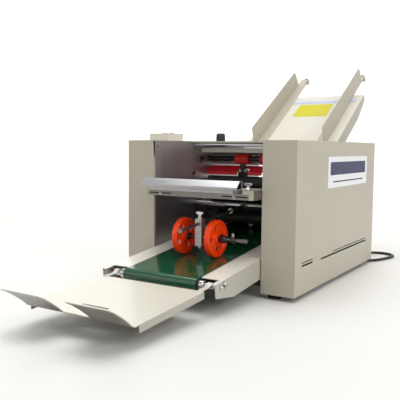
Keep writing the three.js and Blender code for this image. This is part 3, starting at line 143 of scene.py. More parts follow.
def surface(name, look):
    s = surfaceSet
    material = bpy.data.materials.new(name)
    material.use_nodes = True
    tree = material.node_tree
    shader = tree.nodes["Principled BSDF"]
    shader.inputs["Metallic"].default_value = look.get("metallic", 0.0)
    if not look.get("metallic"):
        shader.inputs["IOR"].default_value = look.get("ior", 1.5)
    shader.inputs["Coat Weight"].default_value = look.get("coat", 0.0)
    shader.inputs["Coat Roughness"].default_value = look.get("coatRoughness", 0.08)
    coordinates = addNode(tree, "ShaderNodeTexCoord").outputs
    place = coordinates["Object"]
    stretched = addNode(tree, "ShaderNodeMapping", {
        "Vector": place, "Scale": look.get("stretch", (1, 1, 1))}).outputs["Vector"]

    # Clouds of slightly different colour, as a sprayed, rolled or moulded surface has
    clouds = addNode(tree, "ShaderNodeTexNoise", {
        "Vector": stretched, "Scale": 1000 / look["cloudSize"], "Detail": 4.0, "Roughness": 0.6})
    tones = addNode(tree, "ShaderNodeMix", {
        "Factor": clouds.outputs["Fac"], "A": linear(look["colour"]), "B": linear(look["tone"])},
        data_type="RGBA")
    shade = tones.outputs["Result"]

    # Painted shade: faces that look sideways or down are darkened towards a shade colour, as if less light
    # falls on them
    if look.get("paintedShade"):
        upwards = addNode(tree, "ShaderNodeSeparateXYZ", {"Vector": coordinates["Normal"]}).outputs["Z"]
        unshadedShare = addNode(tree, "ShaderNodeMapRange", {
            "Value": upwards, "From Min": s["paintedShadeLow"], "From Max": s["paintedShadeHigh"]})
        shade = addNode(tree, "ShaderNodeMix", {
            "Factor": unshadedShare.outputs["Result"], "A": linear(look["paintedShade"]), "B": shade},
            data_type="RGBA").outputs["Result"]

    # Worn edges: where the rounded normal leaves the flat one, broken up by small noise
    worn = addNode(tree, "ShaderNodeBevel", {"Radius": look.get("wearWidth", 0.6) / 1000}, samples=3)
    flat = addNode(tree, "ShaderNodeNewGeometry").outputs["True Normal"]
    facing = addNode(tree, "ShaderNodeVectorMath", {
        0: worn.outputs["Normal"], 1: flat}, operation="DOT_PRODUCT")
    chips = addNode(tree, "ShaderNodeTexNoise", {
        "Vector": place, "Scale": 1000 / look.get("chipSize", 3.0), "Detail": 3.0})
    edge = addNode(tree, "ShaderNodeMapRange", {
        "Value": facing.outputs["Value"], "From Min": s["flatEdge"], "From Max": s["wornEdge"],
        "To Max": look.get("wear", 0.5)})
    broken = addNode(tree, "ShaderNodeMath", {
        0: edge.outputs["Result"], 1: chips.outputs["Fac"]}, operation="MULTIPLY", use_clamp=True)
    shade = addNode(tree, "ShaderNodeMix", {
        "Factor": broken.outputs["Value"], "A": shade, "B": linear(look["worn"])},
        data_type="RGBA").outputs["Result"]

    # Roughness: handled and wiped patches are smoother than the rest
    patches = addNode(tree, "ShaderNodeTexNoise", {
        "Vector": stretched, "Scale": 1000 / look["patchSize"], "Detail": 3.0, "Roughness": 0.5})
    rough = addNode(tree, "ShaderNodeMapRange", {
        "Value": patches.outputs["Fac"], "From Min": 0.3, "From Max": 0.7,
        "To Min": look["rough"][0], "To Max": look["rough"][1]})

    # Bump: orange peel, brush lines, weave or mould grain
    if look.get("weave"):
        density = 1000 / look["weave"] / s["waveFactor"]
        threads = addNode(tree, "ShaderNodeTexWave", {
            "Vector": place, "Scale": density}, bands_direction="X")
        cross = addNode(tree, "ShaderNodeTexWave", {
            "Vector": place, "Scale": density}, bands_direction="Y")
        grain = addNode(tree, "ShaderNodeMath", {
            0: threads.outputs["Fac"], 1: cross.outputs["Fac"]}, operation="MULTIPLY").outputs["Value"]
    else:
        grain = addNode(tree, "ShaderNodeTexNoise", {
            "Vector": stretched, "Scale": 1000 / look["grainSize"], "Detail": 2.0}).outputs["Fac"]
    bump = addNode(tree, "ShaderNodeBump", {
        "Height": grain, "Strength": look.get("bumpStrength", 0.3), "Distance": look["grainDepth"] / 1000})

    tree.links.new(shade, shader.inputs["Base Color"])
    tree.links.new(rough.outputs["Result"], shader.inputs["Roughness"])
    tree.links.new(bump.outputs["Normal"], shader.inputs["Normal"])
    return material


# Stove enamelled sheet steel of the housings: glossy beige grey, faint orange peel, wiped patches
beigeEnamel = surface("beigeEnamelledSteel", {
    "colour": "#B9B4A5", "tone": "#B4AE9E", "worn": "#D2CDC0", "cloudSize": 140, "patchSize": 110,
    "rough": (0.34, 0.42), "grainSize": 2.2, "grainDepth": 0.01, "coat": 0.15, "wear": 0.35, "wearWidth": 0.7,
})
# The same enamel in cream on the tray and the feed table, wiped glossy by the paper. Its pale cream is partly
# painted light, and faces that look sideways or down darken to painted shade
creamEnamel = surface("creamEnamelledSteel", {
    "colour": "#DAD6CA", "tone": "#D5D1C4", "worn": "#EBE8DE", "paintedShade": "#7F7B72", "cloudSize": 130,
    "patchSize": 100, "rough": (0.3, 0.4), "grainSize": 2.2, "grainDepth": 0.01, "coat": 0.15, "wear": 0.35,
    "wearWidth": 0.7,
})
# The rails' cream, with painted shade on faces that look sideways or down
railEnamel = surface("creamEnamelledRailSteel", {
    "colour": "#EAE7DC", "tone": "#E4E1D5", "worn": "#F6F4EC", "paintedShade": "#7F7B72", "cloudSize": 120,
    "patchSize": 90, "rough": (0.28, 0.38), "grainSize": 2.2, "grainDepth": 0.01, "coat": 0.15, "wear": 0.35,
    "wearWidth": 0.7,
})
# The crossbar's pale enamel, the same all round, without the painted shade on its lower faces
paleEnamel = surface("paleEnamelledSteel", {
    "colour": "#EAE7DC", "tone": "#E4E1D5", "worn": "#F6F4EC", "cloudSize": 120, "patchSize": 90,
    "rough": (0.28, 0.38), "grainSize": 2.2, "grainDepth": 0.01, "coat": 0.15, "wear": 0.35, "wearWidth": 0.7,
})
# Black enamel on the bars, the shaft and the panel inside, whose black sheet stands in for shade in the
# throat: edges rubbed to grey
blackEnamel = surface("blackEnamelledSteel", {
    "colour": "#1A1A1C", "tone": "#232326", "worn": "#6C6A68", "cloudSize": 50, "patchSize": 30,
    "rough": (0.28, 0.42), "grainSize": 1.8, "grainDepth": 0.05, "wear": 0.6,
})
# Zinc plated steel, brushed upright: fine lines and faint clouds
zincSteel = surface("brushedZincSteel", {
    "colour": "#C3BFC1", "tone": "#BBB7B9", "worn": "#DDDBDD", "cloudSize": 110, "patchSize": 40,
    "stretch": (1, 1, 0.1), "rough": (0.42, 0.52), "grainSize": 0.9, "grainDepth": 0.008, "metallic": 1.0,
    "wear": 0.5,
})
# Hard chrome on the turned rods: near mirror, with faint turning marks
chromedSteel = surface("chromedSteel", {
    "colour": "#D3D3D7", "tone": "#C2C2C8", "worn": "#F0F0F2", "cloudSize": 18, "patchSize": 9,
    "stretch": (1, 0.3, 0.3), "rough": (0.08, 0.17), "grainSize": 0.7, "grainDepth": 0.006, "metallic": 1.0,
    "wear": 0.3,
})
# Satin ground steel of the press rod and the slotted bar: even and grey
satinSteel = surface("satinGroundSteel", {
    "colour": "#96938F", "tone": "#86837F", "worn": "#CFCDC9", "cloudSize": 30, "patchSize": 14,
    "stretch": (0.15, 1, 1), "rough": (0.3, 0.42), "grainSize": 0.8, "grainDepth": 0.008, "metallic": 1.0,
    "wear": 0.5,
})
# Blackened steel of the axle's nut and clamp: oil dark, rubbed bright on its edges
blackenedSteel = surface("blackenedSteel", {
    "colour": "#55535A", "tone": "#46444A", "worn": "#B5B3B8", "cloudSize": 8, "patchSize": 5,
    "rough": (0.26, 0.38), "grainSize": 0.6, "grainDepth": 0.01, "metallic": 1.0, "wear": 0.6,
})
# Drawn steel of the press axle, dark under a film of oil
oiledSteel = surface("oiledDrawnSteel", {
    "colour": "#7A7779", "tone": "#6B686B", "worn": "#C6C4C6", "cloudSize": 12, "patchSize": 6,
    "stretch": (1, 0.3, 0.3), "rough": (0.14, 0.24), "grainSize": 0.7, "grainDepth": 0.006, "metallic": 1.0,
    "wear": 0.5,
})
# Die cast aluminium of the wing knobs, tumbled bright
castAluminium = surface("castAluminium", {
    "colour": "#E8E7E6", "tone": "#DBDAD9", "worn": "#F6F6F6", "cloudSize": 10, "patchSize": 5,
    "rough": (0.26, 0.38), "grainSize": 0.7, "grainDepth": 0.015, "metallic": 1.0, "wear": 0.4,
})
# Clear anodised aluminium extrusion: satin, drawn in straight lines along X
anodisedAluminium = surface("anodisedAluminium", {
    "colour": "#C4C4C5", "tone": "#B6B6B9", "worn": "#EDEDEE", "cloudSize": 30, "patchSize": 14,
    "stretch": (0.08, 1, 1), "rough": (0.24, 0.36), "grainSize": 0.8, "grainDepth": 0.012, "metallic": 1.0,
    "wear": 0.4,
})
# Ground rubber: matt and open, dust in its pores
blackRubber = surface("groundBlackRubber", {
    "colour": "#171717", "tone": "#212020", "worn": "#3B3936", "cloudSize": 25, "patchSize": 10,
    "rough": (0.55, 0.75), "grainSize": 0.8, "grainDepth": 0.06, "bumpStrength": 0.5, "wear": 0.5,
})
# Moulded ABS with a fine spark eroded grain
blackAbs = surface("mouldedBlackAbs", {
    "colour": "#232325", "tone": "#2B2B2D", "worn": "#57565A", "cloudSize": 20, "patchSize": 8,
    "rough": (0.34, 0.48), "grainSize": 0.6, "grainDepth": 0.03, "wear": 0.5, "ior": 1.53,
})
# The control box: pale ABS with a finer grain, yellowed a little in clouds
paleAbs = surface("mouldedPaleAbs", {
    "colour": "#EAE6DB", "tone": "#E2DDD1", "worn": "#F8F5EE", "cloudSize": 30, "patchSize": 12,
    "rough": (0.3, 0.42), "grainSize": 0.6, "grainDepth": 0.02, "wear": 0.4, "ior": 1.53,
})
# PVC conveyor belt: smooth glossy cover over a woven carrier that prints through a little. Its
# threads are drawn about six times as wide as the real ones, which wouldn't show
beltPvc = surface("glossyGreenBeltPvc", {
    "colour": "#0A5433", "tone": "#084A2C", "worn": "#3B7054", "cloudSize": 45, "patchSize": 35,
    "rough": (0.1, 0.2), "grainSize": 1.2, "grainDepth": 0.01, "weave": 1.6, "bumpStrength": 0.12,
    "coat": 0.5, "coatRoughness": 0.05, "wear": 0.3, "ior": 1.52,
})
# Injection moulded nylon of the press wheels: orange red, glossy, with faint flow clouds
orangeNylon = surface("mouldedOrangeNylon", {
    "colour": "#FF4600", "tone": "#FF3D00", "worn": "#FF8A5A", "cloudSize": 22, "patchSize": 10,
    "rough": (0.2, 0.28), "grainSize": 0.7, "grainDepth": 0.006, "wear": 0.35, "ior": 1.46,
})
# Red stove enamel on the plate over the rollers, glossy where sheets slide
redEnamel = surface("redEnamelledSteel", {
    "colour": "#FF2E3C", "tone": "#F22836", "worn": "#F58A8F", "cloudSize": 40, "patchSize": 20,
    "rough": (0.3, 0.4), "grainSize": 1.8, "grainDepth": 0.008, "wear": 0.25,
})
# Cast polyurethane of the feed hubs: satin red, dulled by paper dust
redPolyurethane = surface("castRedPolyurethane", {
    "colour": "#DE1E22", "tone": "#E03024", "worn": "#E87E70", "cloudSize": 12, "patchSize": 6,
    "rough": (0.38, 0.55), "grainSize": 0.7, "grainDepth": 0.04, "wear": 0.5,
})
# Button caps: dyed ABS, satin, pale along the rubbed rim
greenAbs = surface("mouldedGreenAbs", {
    "colour": "#2C8A4A", "tone": "#27803F", "worn": "#6DB385", "cloudSize": 8, "patchSize": 4,
    "rough": (0.3, 0.4), "grainSize": 0.5, "grainDepth": 0.015, "wear": 0.4, "ior": 1.53,
})
# The same ABS, dyed red
redAbs = surface("mouldedRedAbs", {
    "colour": "#B5202A", "tone": "#A81A24", "worn": "#DB7076", "cloudSize": 8, "patchSize": 4,
    "rough": (0.3, 0.4), "grainSize": 0.5, "grainDepth": 0.015, "wear": 0.4, "ior": 1.53,
})
# Nickel plated screws, pins and the rod's collar, their plating cloudy
nickelSteel = surface("nickelPlatedSteel", {
    "colour": "#C9C6BE", "tone": "#B0ADA6", "worn": "#EDEBE4", "cloudSize": 5, "patchSize": 3,
    "rough": (0.2, 0.34), "grainSize": 0.6, "grainDepth": 0.01, "metallic": 1.0, "wear": 0.4,
})
# Extruded flexible PVC of the mains lead
cordPvc = surface("extrudedBlackPvc", {
    "colour": "#18181A", "tone": "#202022", "worn": "#3A3A3D", "cloudSize": 30, "patchSize": 9,
    "rough": (0.34, 0.5), "grainSize": 0.9, "grainDepth": 0.02, "wear": 0.2, "ior": 1.53,
})
# Printed polycarbonate film: white, satin
whiteFilm = surface("whitePolycarbonateFilm", {
    "colour": "#F1F2F5", "tone": "#E9EAEE", "worn": "#FFFFFF", "cloudSize": 50, "patchSize": 20,
    "rough": (0.28, 0.4), "grainSize": 0.7, "grainDepth": 0.01, "wear": 0.2, "ior": 1.58,
})
# Screen printed ink: dark blue, satin, its film a little uneven
navyInk = surface("navyScreenInk", {
    "colour": "#232A55", "tone": "#2B3361", "worn": "#4A5180", "cloudSize": 20, "patchSize": 8,
    "rough": (0.35, 0.5), "grainSize": 0.6, "grainDepth": 0.008, "wear": 0.2,
})
# Screen printed ink of the scale's marks, blue grey and matt
greyInk = surface("greyScreenInk", {
    "colour": "#616C80", "tone": "#6C778B", "worn": "#8D96A5", "cloudSize": 15, "patchSize": 6,
    "rough": (0.4, 0.5), "grainSize": 0.6, "grainDepth": 0.008, "wear": 0.2,
})
# Polyester film under the scale: pale blue and smooth
paleBlueFilm = surface("paleBluePolyesterFilm", {
    "colour": "#C6D0DE", "tone": "#BCC7D7", "worn": "#E4EAF1", "cloudSize": 40, "patchSize": 12,
    "rough": (0.25, 0.35), "grainSize": 0.7, "grainDepth": 0.01, "wear": 0.2, "ior": 1.6,
})
# Calendered vinyl film: strong yellow, satin
yellowVinyl = surface("yellowVinylFilm", {
    "colour": "#CCC204", "tone": "#C5BA02", "worn": "#E3DC52", "cloudSize": 40, "patchSize": 15,
    "rough": (0.32, 0.44), "grainSize": 0.8, "grainDepth": 0.01, "wear": 0.2,
})
# Painted studio floor: pale, matt, hardly marked
paleFloor = surface("paleStudioPaint", {
    "colour": stageSet["floorColour"], "tone": "#E5E4E1", "worn": "#FFFFFF", "cloudSize": 400,
    "patchSize": 250, "rough": (0.5, 0.6), "grainSize": 6, "grainDepth": 0.02, "wear": 0.0,
})
print("materials are made")


# The studio floor is round and sweeps up into a wall on all sides

def circle(radius, segments):
    turns = [2 * pi * k / segments for k in range(segments)]
    return [(radius * cos(angle), radius * sin(angle)) for angle in turns]


def studioCove(c):
    bend, segments = c["bend"], c["segments"]
    profile = [(c["wallRadius"] - bend, 0.0)]
    for i in range(1, c["bendSteps"] + 1):
        angle = i / c["bendSteps"] * pi / 2
        profile.append((c["wallRadius"] - bend + bend * sin(angle), bend - bend * cos(angle)))
    profile.append((c["wallRadius"], c["wallHeight"]))
    verts = [(0.0, 0.0, 0.0)]
    for radius, z in profile:
        verts += [(x, y, z) for x, y in circle(radius, segments)]
    faces = [(0, 1 + k, 1 + (k + 1) % segments) for k in range(segments)]
    for ring in range(len(profile) - 1):
        low = 1 + ring * segments
        for k in range(segments):
            j = (k + 1) % segments
            faces.append((low + k, low + segments + k, low + segments + j, low + j))
    mesh = bpy.data.meshes.new("studioFloor")
    mesh.from_pydata(verts, [], faces)
    mesh.shade_smooth()
    mesh.materials.append(paleFloor)
    return linked(bpy.data.objects.new("studioFloor", mesh))


studioCove(stageSet)
print("studio floor is laid")


# Tools for the pieces. Everything is drawn in the millimetres of the machine's CAD

edgeSet = {
    "gap": 1e-6,  # m, corners nearer than this are one
    "smooth": 32,  # degrees, flatter edges are shaded smooth
    "round": 33,  # degrees, sharper edges are rounded
    "flat": 0.5,  # degrees, faces nearer to one plane than this are one face
}


def smoothByAngle(mesh):
    work = bmesh.new()
    work.from_mesh(mesh)
    for face in work.faces:
        face.smooth = True
    for edge in work.edges:
        edge.smooth = len(edge.link_faces) == 2 and edge.calc_face_angle(0) < radians(edgeSet["smooth"])
    work.to_mesh(mesh)
    work.free()


def toObject(name, work, material, place=Matrix()):
    bmesh.ops.transform(work, matrix=toFrame @ place, verts=work.verts)
    bmesh.ops.remove_doubles(work, verts=work.verts, dist=edgeSet["gap"])
    bmesh.ops.recalc_face_normals(work, faces=work.faces)
    mesh = bpy.data.meshes.new(name)
    work.to_mesh(mesh)
    work.free()
    mesh.materials.append(material)
    smoothByAngle(mesh)
    return linked(bpy.data.objects.new(name, mesh))


def roundEdges(obj, width, segments=2):
    bevel = obj.modifiers.new("roundedEdges", "BEVEL")
    bevel.width = width / 1000
    bevel.segments = segments
    bevel.limit_method = "ANGLE"
    bevel.angle_limit = radians(edgeSet["round"])
    bevel.harden_normals = False
    weighted = obj.modifiers.new("evenFaces", "WEIGHTED_NORMAL")
    weighted.keep_sharp = False
    return obj


def finished(obj, body, width=0.0, stands=()):
    if width:
        roundEdges(obj, width)
    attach(obj, body)
    if stands:
        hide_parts(*stands)
    return obj


# Turns a piece drawn along Z so that it lies along another axis
along = {"X": Matrix.Rotation(pi / 2, 4, "Y"), "Y": Matrix.Rotation(-pi / 2, 4, "X"), "Z": Matrix()}
# Pieces that come in pairs: the right one is on the side of positive X
bothSides = (("Right", 1), ("Left", -1))


def joinRings(work, lower, upper):
    # Faces between two rings of points, where a ring may be one point repeated
    for k in range(len(lower)):
        j = (k + 1) % len(lower)
        corners = [lower[k], lower[j], upper[j], upper[k]]
        face = [v for i, v in enumerate(corners) if v not in corners[:i]]
        if len(face) > 2:
            work.faces.new(face)


def turnedWork(profile, axis="Z", segments=64, work=None, closed=False):
    # profile: (radius, distance along the axis). A radius of nought is a pole
    work = work or bmesh.new()
    turn = along[axis]
    rings = []
    for radius, distance in profile:
        if radius:
            points = [Vector((x, y, distance)) for x, y in circle(radius, segments)]
            rings.append([work.verts.new(turn @ point) for point in points])
        else:
            rings.append([work.verts.new(turn @ Vector((0, 0, distance)))] * segments)
    for lower, upper in zip(rings, rings[1:]):
        joinRings(work, lower, upper)
    if closed:
        joinRings(work, rings[-1], rings[0])
    return work


def prismWork(outline, low, high, axis="X", work=None):
    # outline: the piece's section as two numbers a point, in the two other axes' order
    work = work or bmesh.new()
    ends = []
    for t in (low, high):
        points = {
            "X": [(t, a, b) for a, b in outline],
            "Y": [(a, t, b) for a, b in outline],
            "Z": [(a, b, t) for a, b in outline],
        }[axis]
        ends.append([work.verts.new(Vector(point)) for point in points])
    work.faces.new(ends[0])
    work.faces.new(ends[1])
    joinRings(work, *ends)
    return work


def smoothOutline(points, steps=6):
    # A closed Catmull-Rom curve through the points
    count, result = len(points), []
    for i in range(count):
        a, b, c, d = (Vector(points[(i + k - 1) % count]) for k in range(4))
        for step in range(steps):
            t = step / steps
            result.append(tuple(0.5 * ((2 * b) + (c - a) * t + (2 * a - 5 * b + 4 * c - d) * t * t
                                       + (3 * b - a - 3 * c + d) * t ** 3)))
    return result


# Mains lead: out of the rear wall, down to the table, one loop, then a coil tied behind the machine

leadSet = {
    "outlet": (150, 499, 27),
    "diameter": 7.0,
    "length": 1.792,  # m, from the strain relief to the plug
    "floor": 3.8,  # its middle when it lies on the table
    "approach": 7.3,  # straight stretch before the coil
    "coilCentre": (60, 570),
    "coilRadius": 51,
    "pitch": 8.8,
    "layerRise": 8,
    "loopsPerLayer": 2.5,
    "climbLoops": 0.5,
    "steps": 24,  # points in each loop
    "curveSteps": 4,
    "roundSteps": 5,
}
# Points chosen one by one, from the outlet across and along, and from the table up
leadRoute = [
    (0, 24.4, 27), (0, 34, 26.2), (0, 47, 20.8), (0, 60.5, 12.9), (0.6, 74, 6.6), (2.3, 89, 4),
    (6, 105, 3.8), (15, 120, 3.8), (29, 129.5, 3.8), (45, 132, 3.8), (61, 128, 3.8), (74, 118, 3.8),
    (81.5, 103, 3.8), (81, 85, 3.8), (76, 64, 3.8), (69.5, 43, 3.8), (62, 24.5, 3.8), (52, 9.5, 3.8),
    (38, 0.5, 3.8), (22, -2, 3.8), (5, 1, 3.8), (-15, 7.5, 3.8), (-38, 14.5, 3.8), (-60, 19, 3.8),
]


def coilPoint(loops, c):
    total = 2 * c["loopsPerLayer"] + c["climbLoops"]
    climbEnd = c["loopsPerLayer"] + c["climbLoops"]
    inward, rise = loops, 0.0
    if loops > climbEnd:
        inward, rise = total - loops, c["layerRise"]
    elif loops > c["loopsPerLayer"]:
        inward = c["loopsPerLayer"]
        rise = c["layerRise"] * (loops - c["loopsPerLayer"]) / c["climbLoops"]
    radius = c["coilRadius"] - c["pitch"] * inward
    angle = -pi / 2 - 2 * pi * loops
    x, y = c["coilCentre"]
    return Vector((x + radius * cos(angle), y + radius * sin(angle), c["floor"] + rise))


def leadLine(c):
    loops = 2 * c["loopsPerLayer"] + c["climbLoops"]
    coil = [coilPoint(i / c["steps"], c) for i in range(int(loops * c["steps"]) + 1)]
    into = (coil[0] - coil[1]) * Vector((1, 1, 0))
    out = (coil[-1] - coil[-2]) * Vector((1, 1, 0))
    into.normalize()
    out.normalize()
    mouth = coil[0] + into * c["diameter"]
    approach = mouth + into * c["approach"]
    x, y, _ = c["outlet"]
    route = [Vector((x + a, y + b, z)) for a, b, z in leadRoute]
    end = coil[-1] + out * c["diameter"]
    return route + [approach, mouth] + coil + [end], end, out


def mainsLead(c):
    points, end, out = leadLine(c)
    curve = bpy.data.curves.new("mainsLead", "CURVE")
    curve.dimensions = "3D"
    spline = curve.splines.new("BEZIER")
    spline.bezier_points.add(len(points) - 1)
    for knot, point in zip(spline.bezier_points, points):
        knot.co = toFrame @ point
        knot.handle_left_type = knot.handle_right_type = "AUTO"
    spline.resolution_u = curve.resolution_u = curve.render_resolution_u = c["curveSteps"]
    curve.bevel_depth = c["diameter"] / 2000
    curve.bevel_resolution = c["roundSteps"]
    curve.use_fill_caps = True
    curve.materials.append(cordPvc)
    return linked(bpy.data.objects.new("mainsLead", curve)), points[0], end, out


lead, leadStart, leadEnd, leadOut = mainsLead(leadSet)
finished(lead, "chassis", 0, ["power_cord", "cord_coil"])

# Strain relief: a tapered sleeve with a flange against the wall and grooves that let it bend
glandSet = {
    "length": 24.0, "inside": 11.6, "stem": 6.7, "gap": 0.3, "flange": 9.0, "flangeFront": 3.2,
    "sleeve": 7.6, "sleeveFoot": 4.2, "nose": 5.0, "noseLength": 2.0,
    "grooves": 5, "grooveStart": 5.4, "grooveDepth": 0.7, "ridgeShare": 0.6, "slopeShare": 0.7,
    "mouth": 3.4, "mouthDepth": 1.5,
}


def strainRelief(c):
    tip, nose, mouth = c["length"], c["nose"], c["mouth"]
    profile = [
        (0, -c["inside"]), (c["stem"], -c["inside"]), (c["stem"], c["gap"]), (c["flange"], c["gap"]),
        (c["flange"], c["flangeFront"]), (c["sleeve"], c["sleeveFoot"])]
    end = tip - c["noseLength"]
    step = (end - c["grooveStart"]) / c["grooves"]
    for i in range(c["grooves"]):
        a = c["grooveStart"] + step * i
        wide = c["sleeve"] - (c["sleeve"] - nose) * i / c["grooves"]
        narrow = wide - c["grooveDepth"]
        profile += [
            (wide, a), (wide, a + step * c["ridgeShare"]), (narrow, a + step * c["slopeShare"]),
            (narrow, a + step - 0.2)]
    profile += [
        (nose, end), (nose, tip - 0.4), (nose - 0.6, tip), (mouth, tip), (mouth, tip - c["mouthDepth"]),
        (0, tip - c["mouthDepth"])]
    place = Matrix.Translation(leadSet["outlet"])
    return toObject("strainRelief", turnedWork(profile, "Y", 40), blackAbs, place)


finished(strainRelief(glandSet), "chassis", 0.25, ["cord_gland"])

# Mains plug lying by the coil: a moulded grip with a ribbed neck and two flat pins
plugSet = {
    "flat": 0.87,  # height to width, because the grip lies on its flat side
    "start": [(0, 0), (4.8, 0), (5.0, 1)],
    "ribs": 5, "ribStart": 3, "ribPitch": 3.2, "ribRadius": 5.1, "ribGrowth": 0.16, "ribDepth": 0.8,
    "ribSteps": (1.7, 2.1, 2.9),  # from a rib's start: where its top, its slope and its groove end
    "grip": [
        (6.0, 20.0), (7.6, 25.5), (10.4, 30), (12.3, 33.4), (13, 36), (12.6, 43), (13, 50.5), (12.4, 52)],
    "face": 52, "pinLength": 17, "pinWidth": 6.4, "pinThickness": 1.6, "pinSpacing": 12.7,
}


def mainsPlug(c, end, out):
    turn = atan2(out.y, out.x) - pi / 2
    place = Matrix.Translation(end) @ Matrix.Rotation(turn, 4, "Z")
    profile = list(c["start"])
    ridge, foot, groove = c["ribSteps"]
    for i in range(c["ribs"]):
        a = c["ribStart"] + c["ribPitch"] * i
        wide = c["ribRadius"] + c["ribGrowth"] * i
        narrow = wide - c["ribDepth"]
        profile += [(wide, a), (wide, a + ridge), (narrow, a + foot), (narrow, a + groove)]
    work = turnedWork(profile + c["grip"] + [(0, c["face"])], "Y", 48)
    bmesh.ops.transform(work, matrix=Matrix.Diagonal((1, 1, c["flat"], 1)), verts=work.verts)
    body = toObject("mainsPlug", work, cordPvc, place)
    pins = bmesh.new()
    half, wide = c["pinThickness"] / 2, c["pinWidth"] / 2
    for side in (-1, 1):
        x = side * c["pinSpacing"] / 2
        outline = [(x - half, -wide), (x + half, -wide), (x + half, wide), (x - half, wide)]
        prismWork(outline, c["face"] - 1, c["face"] + c["pinLength"], "Y", pins)
    return body, toObject("plugPins", pins, nickelSteel, place)


plug, pins = mainsPlug(plugSet, leadEnd, leadOut)
finished(plug, "chassis", 0.3, ["power_plug"])
finished(pins, "chassis", 0.25)

# Tie: a strap round the coil's bundle of turns
tieSet = {
    "angle": 200,  # where it sits round the coil, in degrees
    "width": 9, "thickness": 0.9, "gap": 0.25, "corner": 2, "bottom": 0.35,
    "floor": 0.02,  # no corner of it lies lower
}


def coilTie(c):
    coil = leadSet
    inner = coil["coilRadius"] - coil["pitch"] * coil["loopsPerLayer"] - coil["diameter"] / 2
    outer = coil["coilRadius"] + coil["diameter"] / 2
    low, high = c["bottom"], coil["floor"] + coil["layerRise"] + coil["diameter"] / 2
    gap, corner, half = c["gap"], c["corner"], c["width"] / 2
    inside = [
        (inner - gap, low + corner), (inner - gap, high - corner), (inner + corner, high + gap),
        (outer - corner, high + gap), (outer + gap, high - corner), (outer + gap, low + corner),
        (outer - corner, low - 0.1), (inner + corner, low - 0.1)]
    middle = Vector(((inner + outer) / 2, (low + high) / 2))
    outside = []
    for across, up in inside:
        across += c["thickness"] * (1 if across > middle.x else -1)
        up += c["thickness"] * (1 if up > middle.y else -1)
        outside.append((across, max(up, c["floor"])))
    work, rings = bmesh.new(), []
    for a, b in zip(smoothOutline(inside, 3), smoothOutline(outside, 3)):
        corners = ((a, -half), (b, -half), (b, half), (a, half))
        rings.append([work.verts.new((p[0], t, max(p[1], c["floor"]))) for p, t in corners])
    for ring, following in zip(rings, rings[1:] + rings[:1]):
        joinRings(work, ring, following)
    place = Matrix.Translation((*coil["coilCentre"], 0)) @ Matrix.Rotation(radians(c["angle"]), 4, "Z")
    return toObject("coilTie", work, blackRubber, place)


tie = finished(coilTie(tieSet), "chassis", 0.15)
print("mains lead is laid")


# CAD pieces that keep their shape: better finishes, and edges as a press brake or a mould leaves them

finishes = [
    # material, rounded edge in mm, CAD pieces
    (beigeEnamel, 0.6, ["right_cover", "left_cover", "top_cover"]),
    (beigeEnamel, 0.5, ["feed_guide_right", "feed_guide_left"]),
    (creamEnamel, 0.5, ["feed_table", "receiving_tray"]),
    (railEnamel, 0.5, ["conveyor_rail_right", "conveyor_rail_left"]),
    (paleEnamel, 0.5, ["upper_crossbar"]),
    (satinSteel, 0.5, ["fold_plate_support"]),
    (zincSteel, 0.5, ["press_block"]),
    (blackEnamel, 0.5, ["separator_bar", "base_channel_front", "base_channel_rear"]),
    (redEnamel, 0.4, ["red_guide_plate"]),
    (zincSteel, 0.4, ["right_side_plate", "left_side_plate", "conveyor_bed", "drive_motor", "motor_pinion"]),
    (zincSteel, 0.4, ["front_fold_plate", "rear_fold_plate"]),
    (anodisedAluminium, 0.5, ["fold_plate_bar"]),
    (blackRubber, 0.3, ["fold_roller_1", "fold_roller_2", "fold_roller_3", "fold_roller_4", "rear_roller"]),
    (blackRubber, 0.8, ["foot_front_right", "foot_front_left", "foot_rear_right", "foot_rear_left"]),
    (paleAbs, 0.8, ["control_box"]),
    (blackAbs, 0.6, ["power_switch"]),
]


def dressNode(name, material, width):
    node = nodes[name]
    for slot in node.material_slots:
        slot.material = material
    node.data.shade_smooth()
    weld = node.modifiers.new("oneSkin", "WELD")
    weld.merge_threshold = edgeSet["gap"]
    plain = node.modifiers.new("wholeFaces", "DECIMATE")
    plain.decimate_type = "DISSOLVE"
    plain.angle_limit = radians(edgeSet["flat"])
    roundEdges(node, width)


for material, width, names in finishes:
    for name in names:
        dressNode(name, material, width)
print("CAD pieces have their finishes")


# Geometry Nodes trees: fasteners on points, ribs round a knob, ticks of a scale, holes of a wheel

def newTree(name, sizes):
    tree = bpy.data.node_groups.new(name, "GeometryNodeTree")
    tree.interface.new_socket("Geometry", in_out="INPUT", socket_type="NodeSocketGeometry")
    for label, kind in sizes.items():
        tree.interface.new_socket(label, in_out="INPUT", socket_type=f"NodeSocket{kind}")
    tree.interface.new_socket("Geometry", in_out="OUTPUT", socket_type="NodeSocketGeometry")
    return tree, addNode(tree, "NodeGroupInput").outputs


def endTree(tree, shape, given):
    real = addNode(tree, "GeometryNodeRealizeInstances", {"Geometry": shape})
    painted = addNode(tree, "GeometryNodeSetMaterial", {
        "Geometry": real.outputs["Geometry"], "Material": given["Material"]})
    addNode(tree, "NodeGroupOutput", {"Geometry": painted.outputs["Geometry"]})
    return tree


def grow(name, tree, values, place=Matrix(), base=None):
    # Runs a tree once and keeps its result as a plain mesh
    obj = linked(bpy.data.objects.new(name, base or bpy.data.meshes.new(name)))
    modifier = obj.modifiers.new("grow", "NODES")
    modifier.node_group = tree
    for item in tree.interface.items_tree:
        if item.in_out == "INPUT" and item.name in values:
            modifier[item.identifier] = values[item.name]
    obj.update_tag()
    bpy.context.view_layer.update()
    made = obj.evaluated_get(bpy.context.evaluated_depsgraph_get())
    mesh = bpy.data.meshes.new_from_object(made)
    obj.modifiers.remove(modifier)
    obj.data = mesh
    mesh.transform(toFrame @ place)
    smoothByAngle(mesh)
    return obj


